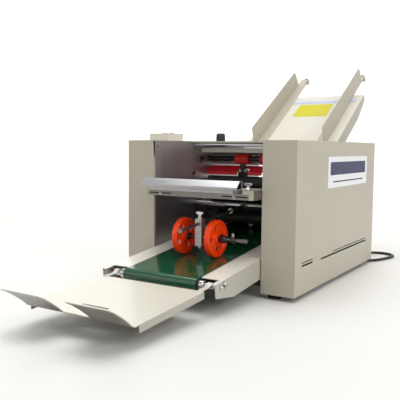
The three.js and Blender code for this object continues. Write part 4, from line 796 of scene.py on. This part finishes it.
def raised(tree, shape, height):
    place = addNode(tree, "ShaderNodeCombineXYZ", {"Z": height.outputs["Value"]})
    return addNode(tree, "GeometryNodeTransform", {
        "Geometry": shape.outputs["Mesh"], "Translation": place.outputs["Vector"]}).outputs["Geometry"]


def fastenerTree():
    # A head with a six sided socket on a washer at each point, turned by chance about its own axis
    tree, given = newTree("fasteners", {
        "Head Radius": "Float", "Head Height": "Float", "Head Sides": "Int", "Washer Radius": "Float",
        "Washer Height": "Float", "Socket Radius": "Float", "Turn": "Vector", "Seed": "Int",
        "Material": "Material"})
    head = addNode(tree, "GeometryNodeMeshCylinder", {
        "Vertices": given["Head Sides"], "Radius": given["Head Radius"], "Depth": given["Head Height"]})
    halfHead = addNode(tree, "ShaderNodeMath", {0: given["Head Height"], 1: 0.5}, operation="MULTIPLY")
    headLift = addNode(tree, "ShaderNodeMath", {0: halfHead.outputs["Value"], 1: given["Washer Height"]})
    socket = addNode(tree, "GeometryNodeMeshCylinder", {
        "Vertices": 6, "Radius": given["Socket Radius"], "Depth": given["Head Height"]})
    socketLift = addNode(tree, "ShaderNodeMath", {0: given["Head Height"], 1: given["Washer Height"]})
    sunk = addNode(tree, "GeometryNodeMeshBoolean", {
        "Mesh 1": raised(tree, head, headLift), "Mesh 2": raised(tree, socket, socketLift)},
        operation="DIFFERENCE")
    washer = addNode(tree, "GeometryNodeMeshCylinder", {
        "Vertices": 28, "Radius": given["Washer Radius"], "Depth": given["Washer Height"]})
    halfWasher = addNode(tree, "ShaderNodeMath", {0: given["Washer Height"], 1: 0.5}, operation="MULTIPLY")
    both = addNode(tree, "GeometryNodeJoinGeometry", {"Geometry": raised(tree, washer, halfWasher)})
    tree.links.new(sunk.outputs["Mesh"], both.inputs["Geometry"])
    placed = addNode(tree, "GeometryNodeInstanceOnPoints", {
        "Points": given["Geometry"], "Instance": both.outputs["Geometry"], "Rotation": given["Turn"]})
    chance = addNode(tree, "FunctionNodeRandomValue", {"Seed": given["Seed"]}, data_type="FLOAT")
    chance.inputs[3].default_value = 2 * pi  # up to a whole turn
    spin = addNode(tree, "ShaderNodeCombineXYZ", {"Z": chance.outputs[1]})
    spun = addNode(tree, "GeometryNodeRotateInstances", {
        "Instances": placed.outputs["Instances"], "Rotation": spin.outputs["Vector"], "Local Space": True})
    return endTree(tree, spun.outputs["Instances"], given)


def ribTree():
    # Ribs in a ring, each turned outwards
    tree, given = newTree("ribs", {
        "Ring Radius": "Float", "Rib Size": "Vector", "Count": "Int", "Material": "Material"})
    ring = addNode(tree, "GeometryNodeMeshCircle", {
        "Vertices": given["Count"], "Radius": given["Ring Radius"]})
    rib = addNode(tree, "GeometryNodeMeshCube", {"Size": given["Rib Size"]})
    outwards = addNode(tree, "FunctionNodeAlignRotationToVector", {
        "Vector": addNode(tree, "GeometryNodeInputPosition").outputs["Position"]}, axis="X", pivot_axis="Z")
    placed = addNode(tree, "GeometryNodeInstanceOnPoints", {
        "Points": ring.outputs["Mesh"], "Instance": rib.outputs["Mesh"],
        "Rotation": outwards.outputs["Rotation"]})
    return endTree(tree, placed.outputs["Instances"], given)


def tickTree():
    # A row of ticks, with a long one at the start of each group
    tree, given = newTree("ticks", {
        "Count": "Int", "Spacing": "Float", "Short": "Float", "Long": "Float", "Each": "Int",
        "Width": "Float", "Thickness": "Float", "Material": "Material"})
    step = addNode(tree, "ShaderNodeCombineXYZ", {"X": given["Spacing"]})
    row = addNode(tree, "GeometryNodeMeshLine", {"Count": given["Count"], "Offset": step.outputs["Vector"]})
    cube = addNode(tree, "GeometryNodeMeshCube")
    bar = addNode(tree, "GeometryNodeTransform", {
        "Geometry": cube.outputs["Mesh"], "Translation": (0, 0.5, 0.5)})
    index = addNode(tree, "GeometryNodeInputIndex").outputs["Index"]
    over = addNode(tree, "ShaderNodeMath", {0: index, 1: given["Each"]}, operation="MODULO")
    isLong = addNode(tree, "ShaderNodeMath", {0: over.outputs["Value"], 1: 0.5}, operation="LESS_THAN")
    length = addNode(tree, "ShaderNodeMix", {
        "Factor": isLong.outputs["Value"], "A": given["Short"], "B": given["Long"]})
    size = addNode(tree, "ShaderNodeCombineXYZ", {
        "X": given["Width"], "Y": length.outputs["Result"], "Z": given["Thickness"]})
    placed = addNode(tree, "GeometryNodeInstanceOnPoints", {
        "Points": row.outputs["Mesh"], "Instance": bar.outputs["Geometry"], "Scale": size.outputs["Vector"]})
    return endTree(tree, placed.outputs["Instances"], given)


def wheelTree():
    # Round holes in a ring, cut through the given mesh
    tree, given = newTree("wheelHoles", {
        "Hole Radius": "Float", "Hole Circle": "Float", "Hole Count": "Int", "Hole Depth": "Float",
        "Material": "Material"})
    ring = addNode(tree, "GeometryNodeMeshCircle", {
        "Vertices": given["Hole Count"], "Radius": given["Hole Circle"]})
    hole = addNode(tree, "GeometryNodeMeshCylinder", {
        "Vertices": 32, "Radius": given["Hole Radius"], "Depth": given["Hole Depth"]})
    placed = addNode(tree, "GeometryNodeInstanceOnPoints", {
        "Points": ring.outputs["Mesh"], "Instance": hole.outputs["Mesh"]})
    drills = addNode(tree, "GeometryNodeRealizeInstances", {"Geometry": placed.outputs["Instances"]})
    drilled = addNode(tree, "GeometryNodeMeshBoolean", {
        "Mesh 1": given["Geometry"], "Mesh 2": drills.outputs["Geometry"]}, operation="DIFFERENCE")
    return endTree(tree, drilled.outputs["Mesh"], given)


fasteners, ribs, ticks, wheelHoles = fastenerTree(), ribTree(), tickTree(), wheelTree()
print("geometry trees are built")


# Press wheels: a broad rim, a thinner web with four round holes, and a hub on both sides

wheelSet = {
    "radius": 37.5, "bore": 4.3, "rim": 6, "halfThickness": 6, "halfWeb": 2, "hubRadius": 10, "hubHalf": 8,
    "holeRadius": 6, "holeCircle": 21, "holes": 4, "holeDepth": 30.0, "axisY": -28, "axisZ": 115.027,
    "centres": {"right": 44, "left": -31.7}, "turn": {"right": 8, "left": 30},
}


def wheelProfile(c):
    # One side from the bore to the tread, then the other side back
    hub, end, web, thick, tread = c["hubRadius"], c["hubHalf"], c["halfWeb"], c["halfThickness"], c["radius"]
    rim = tread - c["rim"]
    side = [
        (c["bore"], end), (hub - 2.2, end), (hub, end - 1.2), (hub + 0.5, web + 1), (hub + 1.6, web),
        (rim - 1.2, web), (rim - 0.2, web + 0.8), (rim, thick), (tread - 1.4, thick),
        (tread - 0.35, thick - 0.7), (tread, thick - 1.9)]
    return side + [(r, -z) for r, z in reversed(side)]


for name, x in wheelSet["centres"].items():
    base = bpy.data.meshes.new("wheelBody")
    work = turnedWork(wheelProfile(wheelSet), "Z", 96, closed=True)
    bmesh.ops.recalc_face_normals(work, faces=work.faces)
    work.to_mesh(base)
    work.free()
    spin = Matrix.Rotation(radians(wheelSet["turn"][name]), 4, "X")
    place = Matrix.Translation((x, wheelSet["axisY"], wheelSet["axisZ"])) @ spin @ along["X"]
    wheel = grow(f"pressWheel{name.capitalize()}", wheelHoles, {
        "Hole Radius": wheelSet["holeRadius"], "Hole Circle": wheelSet["holeCircle"],
        "Hole Count": wheelSet["holes"], "Hole Depth": wheelSet["holeDepth"], "Material": orangeNylon},
        place, base)
    finished(wheel, f"press_wheel_{name}", 0.5, [f"press_wheel_{name}"])
print("press wheels are made")


# Wheel axle with its collars, a knurled nut, a clamp with a small thumb screw, and the arm's rod

axleSet = {
    "radius": 4, "left": -62, "right": 115, "collar": 7, "collarLength": 5,
    "knurl": 7.5, "knurlLength": 14, "ribs": 36, "ribWidth": 0.75, "ribDepth": 0.9, "noseLength": 3,
    "clamp": 78, "clampLength": 9, "hub": 8.3, "pitch": 1.2, "threadDepth": 0.35, "threadStart": 92,
}


def ringProfile(bore, outer, low, high, chamfer):
    # A plain ring with its outer edges chamfered
    return [(bore, low), (outer - chamfer, low), (outer, low + chamfer), (outer, high - chamfer),
            (outer - chamfer, high), (bore, high)]


def axleCore(c, w):
    r, k = c["radius"], c["collar"]
    drum = [(r, 0), (k, 0), (k, c["collarLength"]), (r, c["collarLength"])]
    points = [(0, c["left"]), (r - 0.7, c["left"]), (r, c["left"] + 0.7)]
    reach = c["hub"] + c["collarLength"]
    for start in (w["left"] - reach, w["left"] + c["hub"], w["right"] - reach):
        points += [(a, start + b) for a, b in drum]
    thread = c["threadStart"]
    while thread < c["right"] - 3:
        points += [(r, thread), (r - c["threadDepth"], thread + c["pitch"] / 2), (r, thread + c["pitch"])]
        thread += c["pitch"]
    points += [(r - 0.8, c["right"]), (0, c["right"])]
    return toObject("pressAxle", turnedWork(points, "X", 48), oiledSteel, axlePlace)


def axleNut(c, start):
    bore, nose, knurl, end = c["radius"] - 0.2, c["radius"] + 1.2, c["knurl"], start + c["knurlLength"]
    profile = [
        (bore, start), (knurl - 0.6, start), (knurl, start + 0.6), (knurl, end - 0.6), (knurl - 0.8, end),
        (nose + 0.4, end), (nose, end + c["noseLength"]), (bore, end + c["noseLength"])]
    nut = toObject("axleNut", turnedWork(profile, "X", 56, closed=True), blackenedSteel, axlePlace)
    knurls = grow("axleNutRibs", ribs, {
        "Ring Radius": knurl, "Rib Size": (c["ribDepth"], c["ribWidth"], c["knurlLength"] - 1.6),
        "Count": c["ribs"], "Material": blackenedSteel},
        axlePlace @ Matrix.Translation(((start + end) / 2, 0, 0)) @ along["X"])
    return nut, knurls


def axleClamp(c):
    profile = ringProfile(c["radius"] - 0.2, c["collar"], c["clamp"], c["clamp"] + c["clampLength"], 0.7)
    return toObject("axleClamp", turnedWork(profile, "X", 48, closed=True), blackenedSteel, axlePlace)


axlePlace = Matrix.Translation((0, wheelSet["axisY"], wheelSet["axisZ"]))
finished(axleCore(axleSet, wheelSet["centres"]), "press_block", 0.2, ["press_axle"])
for piece in (*axleNut(axleSet, wheelSet["centres"]["right"] + axleSet["hub"]), axleClamp(axleSet)):
    finished(piece, "press_block", 0.15)

beltSlope = 0.115  # how steeply the belt and the press arm rise towards the rear
beltAngle = atan(beltSlope)
armSet = {
    "pivot": (6, 163, 164.6), "length": 259 / cos(beltAngle), "radius": 3.25, "sleeve": 9, "bore": 6.3,
    "sleeveHalf": 8, "cap": 4.6, "capLength": 7, "collarY": -64.4, "collarRadius": 6, "collarHalf": 3,
}
armPlace = Matrix.Translation(armSet["pivot"]) @ Matrix.Rotation(beltAngle, 4, "X")


def armRod(c):
    r, cap, half, end = c["radius"], c["cap"], c["sleeveHalf"], -c["bore"] - 1
    capEnd = c["capLength"] / 2 - c["length"]
    tip = capEnd - c["capLength"]
    rod = [(0, tip), (cap - 0.9, tip), (cap, tip + 0.9), (cap, capEnd), (r + 0.2, capEnd), (r, capEnd + 0.6),
           (r, end), (0, end)]
    sleeve = [(c["sleeve"], -half), (c["sleeve"], half), (c["bore"], half), (c["bore"], -half)]
    work = turnedWork(rod, "Y", 40)
    turnedWork(sleeve, "X", 48, work, closed=True)
    return toObject("pressRod", work, satinSteel, armPlace)


def rodCollar(c):
    middle, half = c["collarY"] / cos(beltAngle), c["collarHalf"]
    profile = ringProfile(c["radius"] - 0.2, c["collarRadius"], middle - half, middle + half, 0.6)
    return toObject("rodCollar", turnedWork(profile, "Y", 40, closed=True), nickelSteel, armPlace)


finished(armRod(armSet), "press_arm", 0.25, ["press_rod"])
finished(rodCollar(armSet), "press_arm", 0.2)


# Wing knobs: cast ears on a collar and a stem

wingSet = {
    "y": -28, "pressX": 6, "pressSeat": 152, "foldX": 114, "foldStem": 12,
    "half": 8.245, "thickness": 4, "height": 6.72, "rise": 7.5,
    "gap": 0.3, "collar": 5, "collarHeight": 3, "stem": 2.5, "waist": 4.6,
    # The right half of the ears' outline, as shares of their half width and height
    "ear": [(0.32, -0.35), (0.42, 0.15), (0.85, 0.3), (1, 0.66), (0.8, 0.97), (0.3, 1)],
}


def wingKnob(name, x, bottom, seat, c):
    across, middle, stem, rest = c["half"], seat + c["rise"], c["stem"], seat + c["gap"]
    half = [(a * across, middle + b * c["height"]) for a, b in c["ear"]]
    outline = [(-half[0][0], half[0][1])] + half + [(-a, b) for a, b in reversed(half[1:])]
    work = prismWork(smoothOutline(outline, 5), -c["thickness"] / 2, c["thickness"] / 2, "Y")
    profile = [
        (0, bottom), (stem - 0.4, bottom), (stem, bottom + 0.5), (stem, rest), (c["collar"], rest),
        (c["collar"], rest + c["collarHeight"]), (stem + 0.9, seat + c["waist"]), (stem + 0.4, middle + 2),
        (0, middle + 3)]
    turnedWork(profile, "Z", 36, work)
    return toObject(name, work, castAluminium, Matrix.Translation((x, c["y"], 0)))


def lowestOf(node):
    # The lowest point of a CAD piece
    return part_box(node)[0].z * 1000


pressBottom, foldBottom = lowestOf("press_wing_knob"), lowestOf("fold_plate_knob_right")
foldSeat = foldBottom + wingSet["foldStem"]
wingKnobs = [
    # piece, x, lowest point, what its collar rests on, CAD piece
    ("pressWingKnob", wingSet["pressX"], pressBottom, wingSet["pressSeat"], "press_wing_knob"),
    ("foldPlateKnobRight", wingSet["foldX"], foldBottom, foldSeat, "fold_plate_knob_right"),
    ("foldPlateKnobLeft", -wingSet["foldX"], foldBottom, foldSeat, "fold_plate_knob_left"),
]
for name, x, bottom, seat, node in wingKnobs:
    finished(wingKnob(name, x, bottom, seat, wingSet), node, 0.5, [node])
print("press arm and wing knobs are made")


# Rods across the throat, with chamfered ends in the side plates

rodSet = [
    # name, CAD piece it stands for, radius, half length, y, z, material, body, slot
    ("guideRod", "guide_rod", 3, 129.7, 247, 280, chromedSteel, "chassis", "chrome_steel"),
    ("lowerGuideRod", None, 2.6, 129.7, 240, 258, chromedSteel, "chassis", "chrome_steel"),
    ("topTieRod", "top_tie_rod", 5.5, 129.7, 160, 302, chromedSteel, "chassis", "chrome_steel"),
    ("crossRod", "cross_rod", 6, 129.7, 163, 164.6, chromedSteel, "chassis", "chrome_steel"),
    ("feedShaft", "feed_shaft", 6.5, 136, 225, 269, blackEnamel, "feed_shaft", "black_paint"),
]


# Grooves for the clips that hold a rod
clipSet = {"fromEnd": 8, "width": 1, "depth": 0.5}


def crossingRod(name, radius, half, y, z, material, c):
    floor, width = radius - c["depth"], c["width"]
    profile = [(0, -half), (radius - 0.6, -half), (radius, 0.6 - half)]
    for x in (c["fromEnd"] - half, half - c["fromEnd"] - width):
        profile += [(radius, x), (floor, x + 0.01), (floor, x + width + 0.01), (radius, x + width + 0.02)]
    profile += [(radius, half - 0.6), (radius - 0.6, half), (0, half)]
    return toObject(name, turnedWork(profile, "X", 56), material, Matrix.Translation((0, y, z)))


for name, stands, radius, half, y, z, material, body, slot in rodSet:
    rod = crossingRod(name, radius, half, y, z, material, clipSet)
    finished(rod, body, 0, [stands] if stands else ())


# Feed hubs: cast polyurethane on the shaft, with raised rims and shallow grips between

hubSet = {
    "radius": 12.6, "waist": 11.5, "bore": 6.8, "half": 18, "flange": 4, "x": 33, "y": 225, "z": 269,
    "grips": 22, "gripDepth": 1.3, "gripWidth": 1.6, "gripLength": 25,
}


def feedHub(name, side, c):
    r, waist, h, edge = c["radius"], c["waist"], c["half"], c["half"] - c["flange"]
    profile = [(c["bore"], -h), (r - 1, -h), (r, 1 - h), (r, -edge), (waist, 1 - edge), (waist, edge - 1),
               (r, edge), (r, h - 1), (r - 1, h), (c["bore"], h)]
    place = Matrix.Translation((side * c["x"], c["y"], c["z"]))
    hub = toObject(f"feedHub{name}", turnedWork(profile, "X", 64, closed=True), redPolyurethane, place)
    finished(hub, "feed_shaft", 0.3, [f"feed_hub_{name.lower()}"])
    grips = grow(f"feedHubGrips{name}", ribs, {
        "Ring Radius": waist, "Rib Size": (c["gripDepth"], c["gripWidth"], c["gripLength"]),
        "Count": c["grips"], "Material": redPolyurethane}, place @ along["X"])
    finished(grips, "feed_shaft", 0.25)


for name, side in bothSides:
    feedHub(name, side, hubSet)
print("rods and feed hubs are made")


# Conveyor: belt, front roller and its axle, drawn in the belt's tilted frame

conveyorSet = {
    "frontY": -149, "rearY": 246, "atHousing": 78.7, "beltRise": 1.5, "outer": 12.4, "inner": 10.8,
    "halfWidth": 81, "edge": 0.35, "steps": 40,
    "roller": 10.5, "rollerBore": 5.3, "rollerHalf": 85,
    "axle": 5, "axleHalf": 130.9, "drum": 9, "drumInner": 85.3, "drumOuter": 94.3,
}


def beltPlace(c):
    height = c["atHousing"] + beltSlope * c["frontY"] + c["beltRise"] - c["outer"] / cos(beltAngle)
    return Matrix.Translation((0, c["frontY"], height)) @ Matrix.Rotation(beltAngle, 4, "X")


def beltSide(radius, span, steps):
    # Round the front roller, then round the rear one
    points = []
    for centre, start in ((0, pi / 2), (span, -pi / 2)):
        for i in range(steps + 1):
            angle = start + pi * i / steps
            points.append((centre + radius * cos(angle), radius * sin(angle)))
    return points


def beltLoop(c):
    work, rings = bmesh.new(), []
    span = (c["rearY"] - c["frontY"]) / cos(beltAngle)
    half, inset = c["halfWidth"], c["halfWidth"] - c["edge"]
    sides = (beltSide(c[name], span, c["steps"]) for name in ("outer", "inner"))
    for (a, b), (d, e) in zip(*sides):
        middle = ((a + d) / 2, (b + e) / 2)
        section = (
            (-half, *middle), (-inset, a, b), (inset, a, b), (half, *middle), (inset, d, e), (-inset, d, e))
        rings.append([work.verts.new(point) for point in section])
    for ring, following in zip(rings, rings[1:] + rings[:1]):
        joinRings(work, ring, following)
    return toObject("conveyorBelt", work, beltPvc, beltFrame)


def frontRollerPiece(c):
    profile = ringProfile(c["rollerBore"], c["roller"], -c["rollerHalf"], c["rollerHalf"], 0.8)
    return toObject("frontRoller", turnedWork(profile, "X", 56, closed=True), blackRubber, beltFrame)


def frontAxlePiece(c):
    axle, end = c["axle"], c["axleHalf"]
    half = ringProfile(axle, c["drum"], c["drumInner"], c["drumOuter"], 0.7)
    half += [(axle, end - 0.8), (axle - 0.8, end), (0, end)]
    profile = [(r, -x) for r, x in reversed(half)] + half
    return toObject("frontAxle", turnedWork(profile, "X", 56), chromedSteel, beltFrame)


beltFrame = beltPlace(conveyorSet)
finished(beltLoop(conveyorSet), "chassis", 0, ["conveyor_belt"])
finished(frontRollerPiece(conveyorSet), "front_roller", 0, ["front_roller"])
finished(frontAxlePiece(conveyorSet), "chassis", 0.15, ["front_axle"])
print("conveyor is made")


# Knobs and buttons

knobSet = {
    "place": (-76, 190, 310.3), "flutes": 12, "depth": 0.8, "segments": 96,
    # radius, height, share of the flutes' depth
    "profile": [
        (3, -11, 0), (3, 0, 0), (9.5, 0, 0), (10.2, 0.5, 0.6), (11, 2, 1), (10.5, 13.5, 1), (9.6, 16.8, 0.6),
        (8.4, 18, 0.2), (5, 18.5, 0), (3.8, 18.1, 0), (0.8, 17.9, 0)],
}


def topKnob(c):
    work, rings = bmesh.new(), []
    for radius, height, share in c["profile"]:
        ring = []
        for k in range(c["segments"]):
            angle = 2 * pi * k / c["segments"]
            wave = 0.5 - 0.5 * cos(c["flutes"] * angle)
            r = radius - c["depth"] * share * wave ** 2
            ring.append(work.verts.new((r * cos(angle), r * sin(angle), height)))
        rings.append(ring)
    for lower, upper in zip(rings, rings[1:]):
        joinRings(work, lower, upper)
    work.faces.new(rings[0])
    work.faces.new(rings[-1])
    return toObject("topKnob", work, blackAbs, Matrix.Translation(c["place"]))


finished(topKnob(knobSet), "top_knob", 0, ["top_knob"])

buttonSet = {"radius": 6, "bottom": 323.3, "top": 328.3, "y": 99, "startX": -154, "stopX": -172}


def button(name, material, c):
    # A cap whose top is hollowed a little for the finger
    r, low, high = c["radius"], c["bottom"], c["top"]
    profile = [
        (0, low), (r, low), (r, high - 0.8), (r - 0.25, high - 0.25), (r - 0.9, high), (r - 1.6, high - 0.15),
        (r - 3.2, high - 0.55), (0, high - 0.7)]
    place = Matrix.Translation((c[f"{name}X"], c["y"], 0))
    return toObject(f"{name}Button", turnedWork(profile, "Z", 48), material, place)


for name, material, slot in (("start", greenAbs, "green_plastic"), ("stop", redAbs, "red_plastic")):
    finished(button(name, material, buttonSet), f"{name}_button", 0, [f"{name}_button"])

tableSet = {"frontY": 633.8, "height": 446.3, "tilt": 33}
tableFrame = (Matrix.Translation((0, tableSet["frontY"], tableSet["height"]))
              @ Matrix.Rotation(radians(tableSet["tilt"]), 4, "X"))
guideKnobSet = {
    "x": 88.7, "y": 112.3, "z": -7.5, "radius": 7.5, "length": 12, "stem": 2.5, "stemLength": 4,
    "ribs": 28, "ribSide": 0.9, "ribLength": 8.8,
}


def guideKnob(name, side, c):
    r, end, stem = c["radius"], c["length"], c["stem"]
    profile = [
        (0, -c["stemLength"]), (stem, -c["stemLength"]), (stem, 0), (r - 1.1, 0), (r, 1.2), (r, end - 1.4),
        (r - 1, end - 0.3), (r - 1.9, end), (r - 2.5, end - 0.4), (0, end - 0.7)]
    place = tableFrame @ Matrix.Translation((side * c["x"], c["y"], c["z"]))
    node = f"guide_knob_{name.lower()}"
    knob = toObject(f"guideKnob{name}", turnedWork(profile, "Y", 56), blackAbs, place)
    finished(knob, node, 0, [node])
    grips = grow(f"guideKnobRibs{name}", ribs, {
        "Ring Radius": r, "Rib Size": (c["ribSide"], c["ribSide"], c["ribLength"]), "Count": c["ribs"],
        "Material": blackAbs}, place @ Matrix.Translation((0, end / 2, 0)) @ along["Y"])
    finished(grips, node, 0.15)


for name, side in bothSides:
    guideKnob(name, side, guideKnobSet)
print("knobs and buttons are made")


# Screws, bolts and washers

noSocket = 0.01  # a bolt without a socket gets one too small to see
# head radius, head height, head sides, washer radius, washer height, socket radius
smallScrew = (2.4, 1.8, 24, 3.2, 0.5, 1.2)
smallBolt = (3, 2.4, 6, 3.8, 0.6, noSocket)
barScrew = (3.0, 2.2, 28, 4.0, 0.6, 1.5)
plateScrew = (3.6, 2.0, 28, 5.0, 0.6, 1.9)
railBolt = (5.2, 3.4, 6, 6.4, 0.9, noSocket)
panelBolt = (4.2, 2.8, 6, 5.4, 0.8, noSocket)
thumbScrew = (2.7, 6.0, 28, 3.4, 0.8, 1.3)
coverScrew = (3.4, 1.6, 32, 4.2, 0.5, 1.6)

plateSpots = [(192, 267), (157, 235), (30, 200.5), (52, 200.5)]
fastenerSet = [
    # name, kind, material, way it faces, body, points
    ("separatorScrews", smallScrew, nickelSteel, "-Y", "chassis",
     [(s * 33 + d, 222.5, 240) for s in (1, -1) for d in (-7, 7)]),
    ("separatorBolts", smallBolt, blackEnamel, "-Y", "chassis", [(s * 117, 222.5, 218) for s in (1, -1)]),
    ("supportScrews", barScrew, nickelSteel, "-Y", "chassis", [(s * 87, -34, 200.5) for s in (1, -1)]),
    ("plateBoltsLeft", plateScrew, blackEnamel, "+X", "chassis", [(-130, y, z) for y, z in plateSpots]),
    ("plateBoltsRight", plateScrew, blackEnamel, "-X", "chassis", [(130, y, z) for y, z in plateSpots]),
    ("railBoltRight", railBolt, nickelSteel, "+X", "chassis", [(127.9, -138.8, 53.4)]),
    ("railBoltLeft", railBolt, nickelSteel, "-X", "chassis", [(-127.9, -138.8, 53.4)]),
    ("panelBolts", panelBolt, nickelSteel, "-Y", "chassis",
     [(s * x, 262, 122) for s in (1, -1) for x in (30, 112)]),
    ("clampScrew", thumbScrew, nickelSteel, "+Z", "press_block", [(82.5, -28, 121.6)]),
    ("coverScrews", coverScrew, nickelSteel, "+Y", "chassis",
     [(s * x, 499, z) for s in (1, -1) for x in (139, 194) for z in (52, 262)]),
]
ways = {
    "+X": (0, pi / 2, 0), "-X": (0, -pi / 2, 0), "+Y": (-pi / 2, 0, 0), "-Y": (pi / 2, 0, 0), "+Z": (0, 0, 0),
}
for seed, (name, kind, material, way, body, points) in enumerate(fastenerSet):
    radius, height, sides, washer, thickness, socket = kind
    base = bpy.data.meshes.new(name)
    base.from_pydata(points, [], [])
    piece = grow(name, fasteners, {
        "Head Radius": radius, "Head Height": height, "Head Sides": sides, "Washer Radius": washer,
        "Washer Height": thickness, "Socket Radius": socket, "Turn": ways[way], "Seed": seed,
        "Material": material}, Matrix(), base)
    finished(piece, body, 0.2)
print("fasteners are made")


# Sheets and small parts inside the throat

# Bent strip from the inner panel: it turns a folded sheet down onto the belt
fingerSet = {"x": -6, "width": 10, "front": 216, "rear": 262.2, "top": 119.5, "low": 110, "sheet": 1.2}


def deflectorFinger(c):
    rear, front, top, low, sheet = c["rear"], c["front"], c["top"], c["low"], c["sheet"]
    outline = [
        (rear, top), (front + 1, top), (front, top - 1), (front, low), (front + sheet, low),
        (front + sheet, top - sheet), (rear, top - sheet)]
    work = prismWork(outline, c["x"] - c["width"] / 2, c["x"] + c["width"] / 2, "X")
    return toObject("deflectorFinger", work, satinSteel)


# Painted end of the slotted bar: a plate with its lower inner corner cut away
endPlateSet = {
    "front": -34.6, "back": -33.9, "inner": 105.2, "step": 119.2, "outer": 129.5,
    "bottom": 195.3, "notch": 206.2, "top": 213.5,
}


def barEndPlate(name, side, c):
    outline = [
        (c["inner"], c["notch"]), (c["step"], c["notch"]), (c["step"], c["bottom"]),
        (c["outer"], c["bottom"]), (c["outer"], c["top"]), (c["inner"], c["top"])]
    work = prismWork([(side * x, z) for x, z in outline], c["front"], c["back"], "Y")
    return toObject(f"barEndPlate{name}", work, beigeEnamel)


# Small knobs under the fold plate
hangingSet = {
    "leftX": -38, "rightX": -13, "y": 40, "under": 203.2, "reach": 21, "radius": 5.2, "grip": 10, "stem": 2.2,
    "ribs": 20, "ribSize": (0.8, 0.9, 7.6),
}


def hangingKnob(name, x, c):
    top, r, stem = c["under"] + 0.6, c["radius"], c["stem"]
    low = c["under"] - c["reach"]
    high = low + c["grip"]
    profile = [
        (0, low), (r - 1, low), (r, low + 1), (r, high - 1), (r - 1, high), (stem, high), (stem, top),
        (0, top)]
    place = Matrix.Translation((x, c["y"], 0))
    ridges = grow(f"{name}Ribs", ribs, {
        "Ring Radius": r - 0.1, "Rib Size": c["ribSize"], "Count": c["ribs"], "Material": blackAbs},
        place @ Matrix.Translation((0, 0, (low + high) / 2)))
    return toObject(name, turnedWork(profile, "Z", 48), blackAbs, place), ridges


finished(deflectorFinger(fingerSet), "chassis", 0.2)
for name, side in bothSides:
    finished(barEndPlate(name, side, endPlateSet), "chassis", 0.2)
for name, x in (("gapKnobLeft", hangingSet["leftX"]), ("gapKnobRight", hangingSet["rightX"])):
    for piece in hangingKnob(name, x, hangingSet):
        finished(piece, "front_fold_plate", 0.15)
print("small parts of the throat are made")


# Films and plates: a black inner panel put across the throat as painted shade, a banded plate on the right
# housing, a film and a scale on the table

cornerSteps = 6  # straight pieces in each rounded corner


def roundedBar(name, across, up, thick, axis, radius, material, place):
    left, right = across[0] + radius, across[1] - radius
    bottom, top = up[0] + radius, up[1] - radius
    points = []
    for quarter, (x, y) in enumerate(((right, top), (left, top), (left, bottom), (right, bottom))):
        for i in range(cornerSteps + 1):
            angle = radians(90 * quarter + 90 / cornerSteps * i)
            points.append((x + radius * cos(angle), y + radius * sin(angle)))
    return toObject(name, prismWork(points, *thick, axis), material, place)


panelSheet, plateSheet, inkSheet = (262, 263.5), (201.5, 201.85), (201.85, 201.92)
filmSheet, scaleSheet, scaleInk = (0.02, 0.22), (0.02, 0.2), (0.2, 0.24)
atRest = Matrix()
films = [
    # name, from and to across, from and to up, from and to in thickness, axis, corner, material, frame
    # The inner panel is a black sheet put where the throat shows only shade, standing in for that shade
    ("innerPanel", (-127, 127), (98, 167), panelSheet, "Y", 2, blackEnamel, atRest),
    ("labelPlate", (165, 433), (211, 277.5), plateSheet, "X", 3, whiteFilm, atRest),
    ("labelBand", (178, 420), (238, 266), inkSheet, "X", 2, navyInk, atRest),
    ("labelLine", (196, 402), (222, 225), inkSheet, "X", 0.8, navyInk, atRest),
    ("yellowFilm", (-46, 54), (-115, -48), filmSheet, "Z", 3, yellowVinyl, tableFrame),
    ("scaleFilm", (-118, 118), (-44, -24), scaleSheet, "Z", 1, paleBlueFilm, tableFrame),
    ("scaleLine", (-112, 112), (-41, -39.4), scaleInk, "Z", 0.3, greyInk, tableFrame),
]
for name, *sizes in films:
    finished(roundedBar(name, *sizes), "chassis")

scaleStart = tableFrame @ Matrix.Translation((-110, -39.4, 0.2))
tickSet = {
    "Count": 45, "Spacing": 5.0, "Short": 3.5, "Long": 6.5, "Each": 10, "Width": 0.5, "Thickness": 0.04,
    "Material": greyInk,
}
finished(grow("scaleTicks", ticks, tickSet, scaleStart), "chassis")
print("films and scale are made")
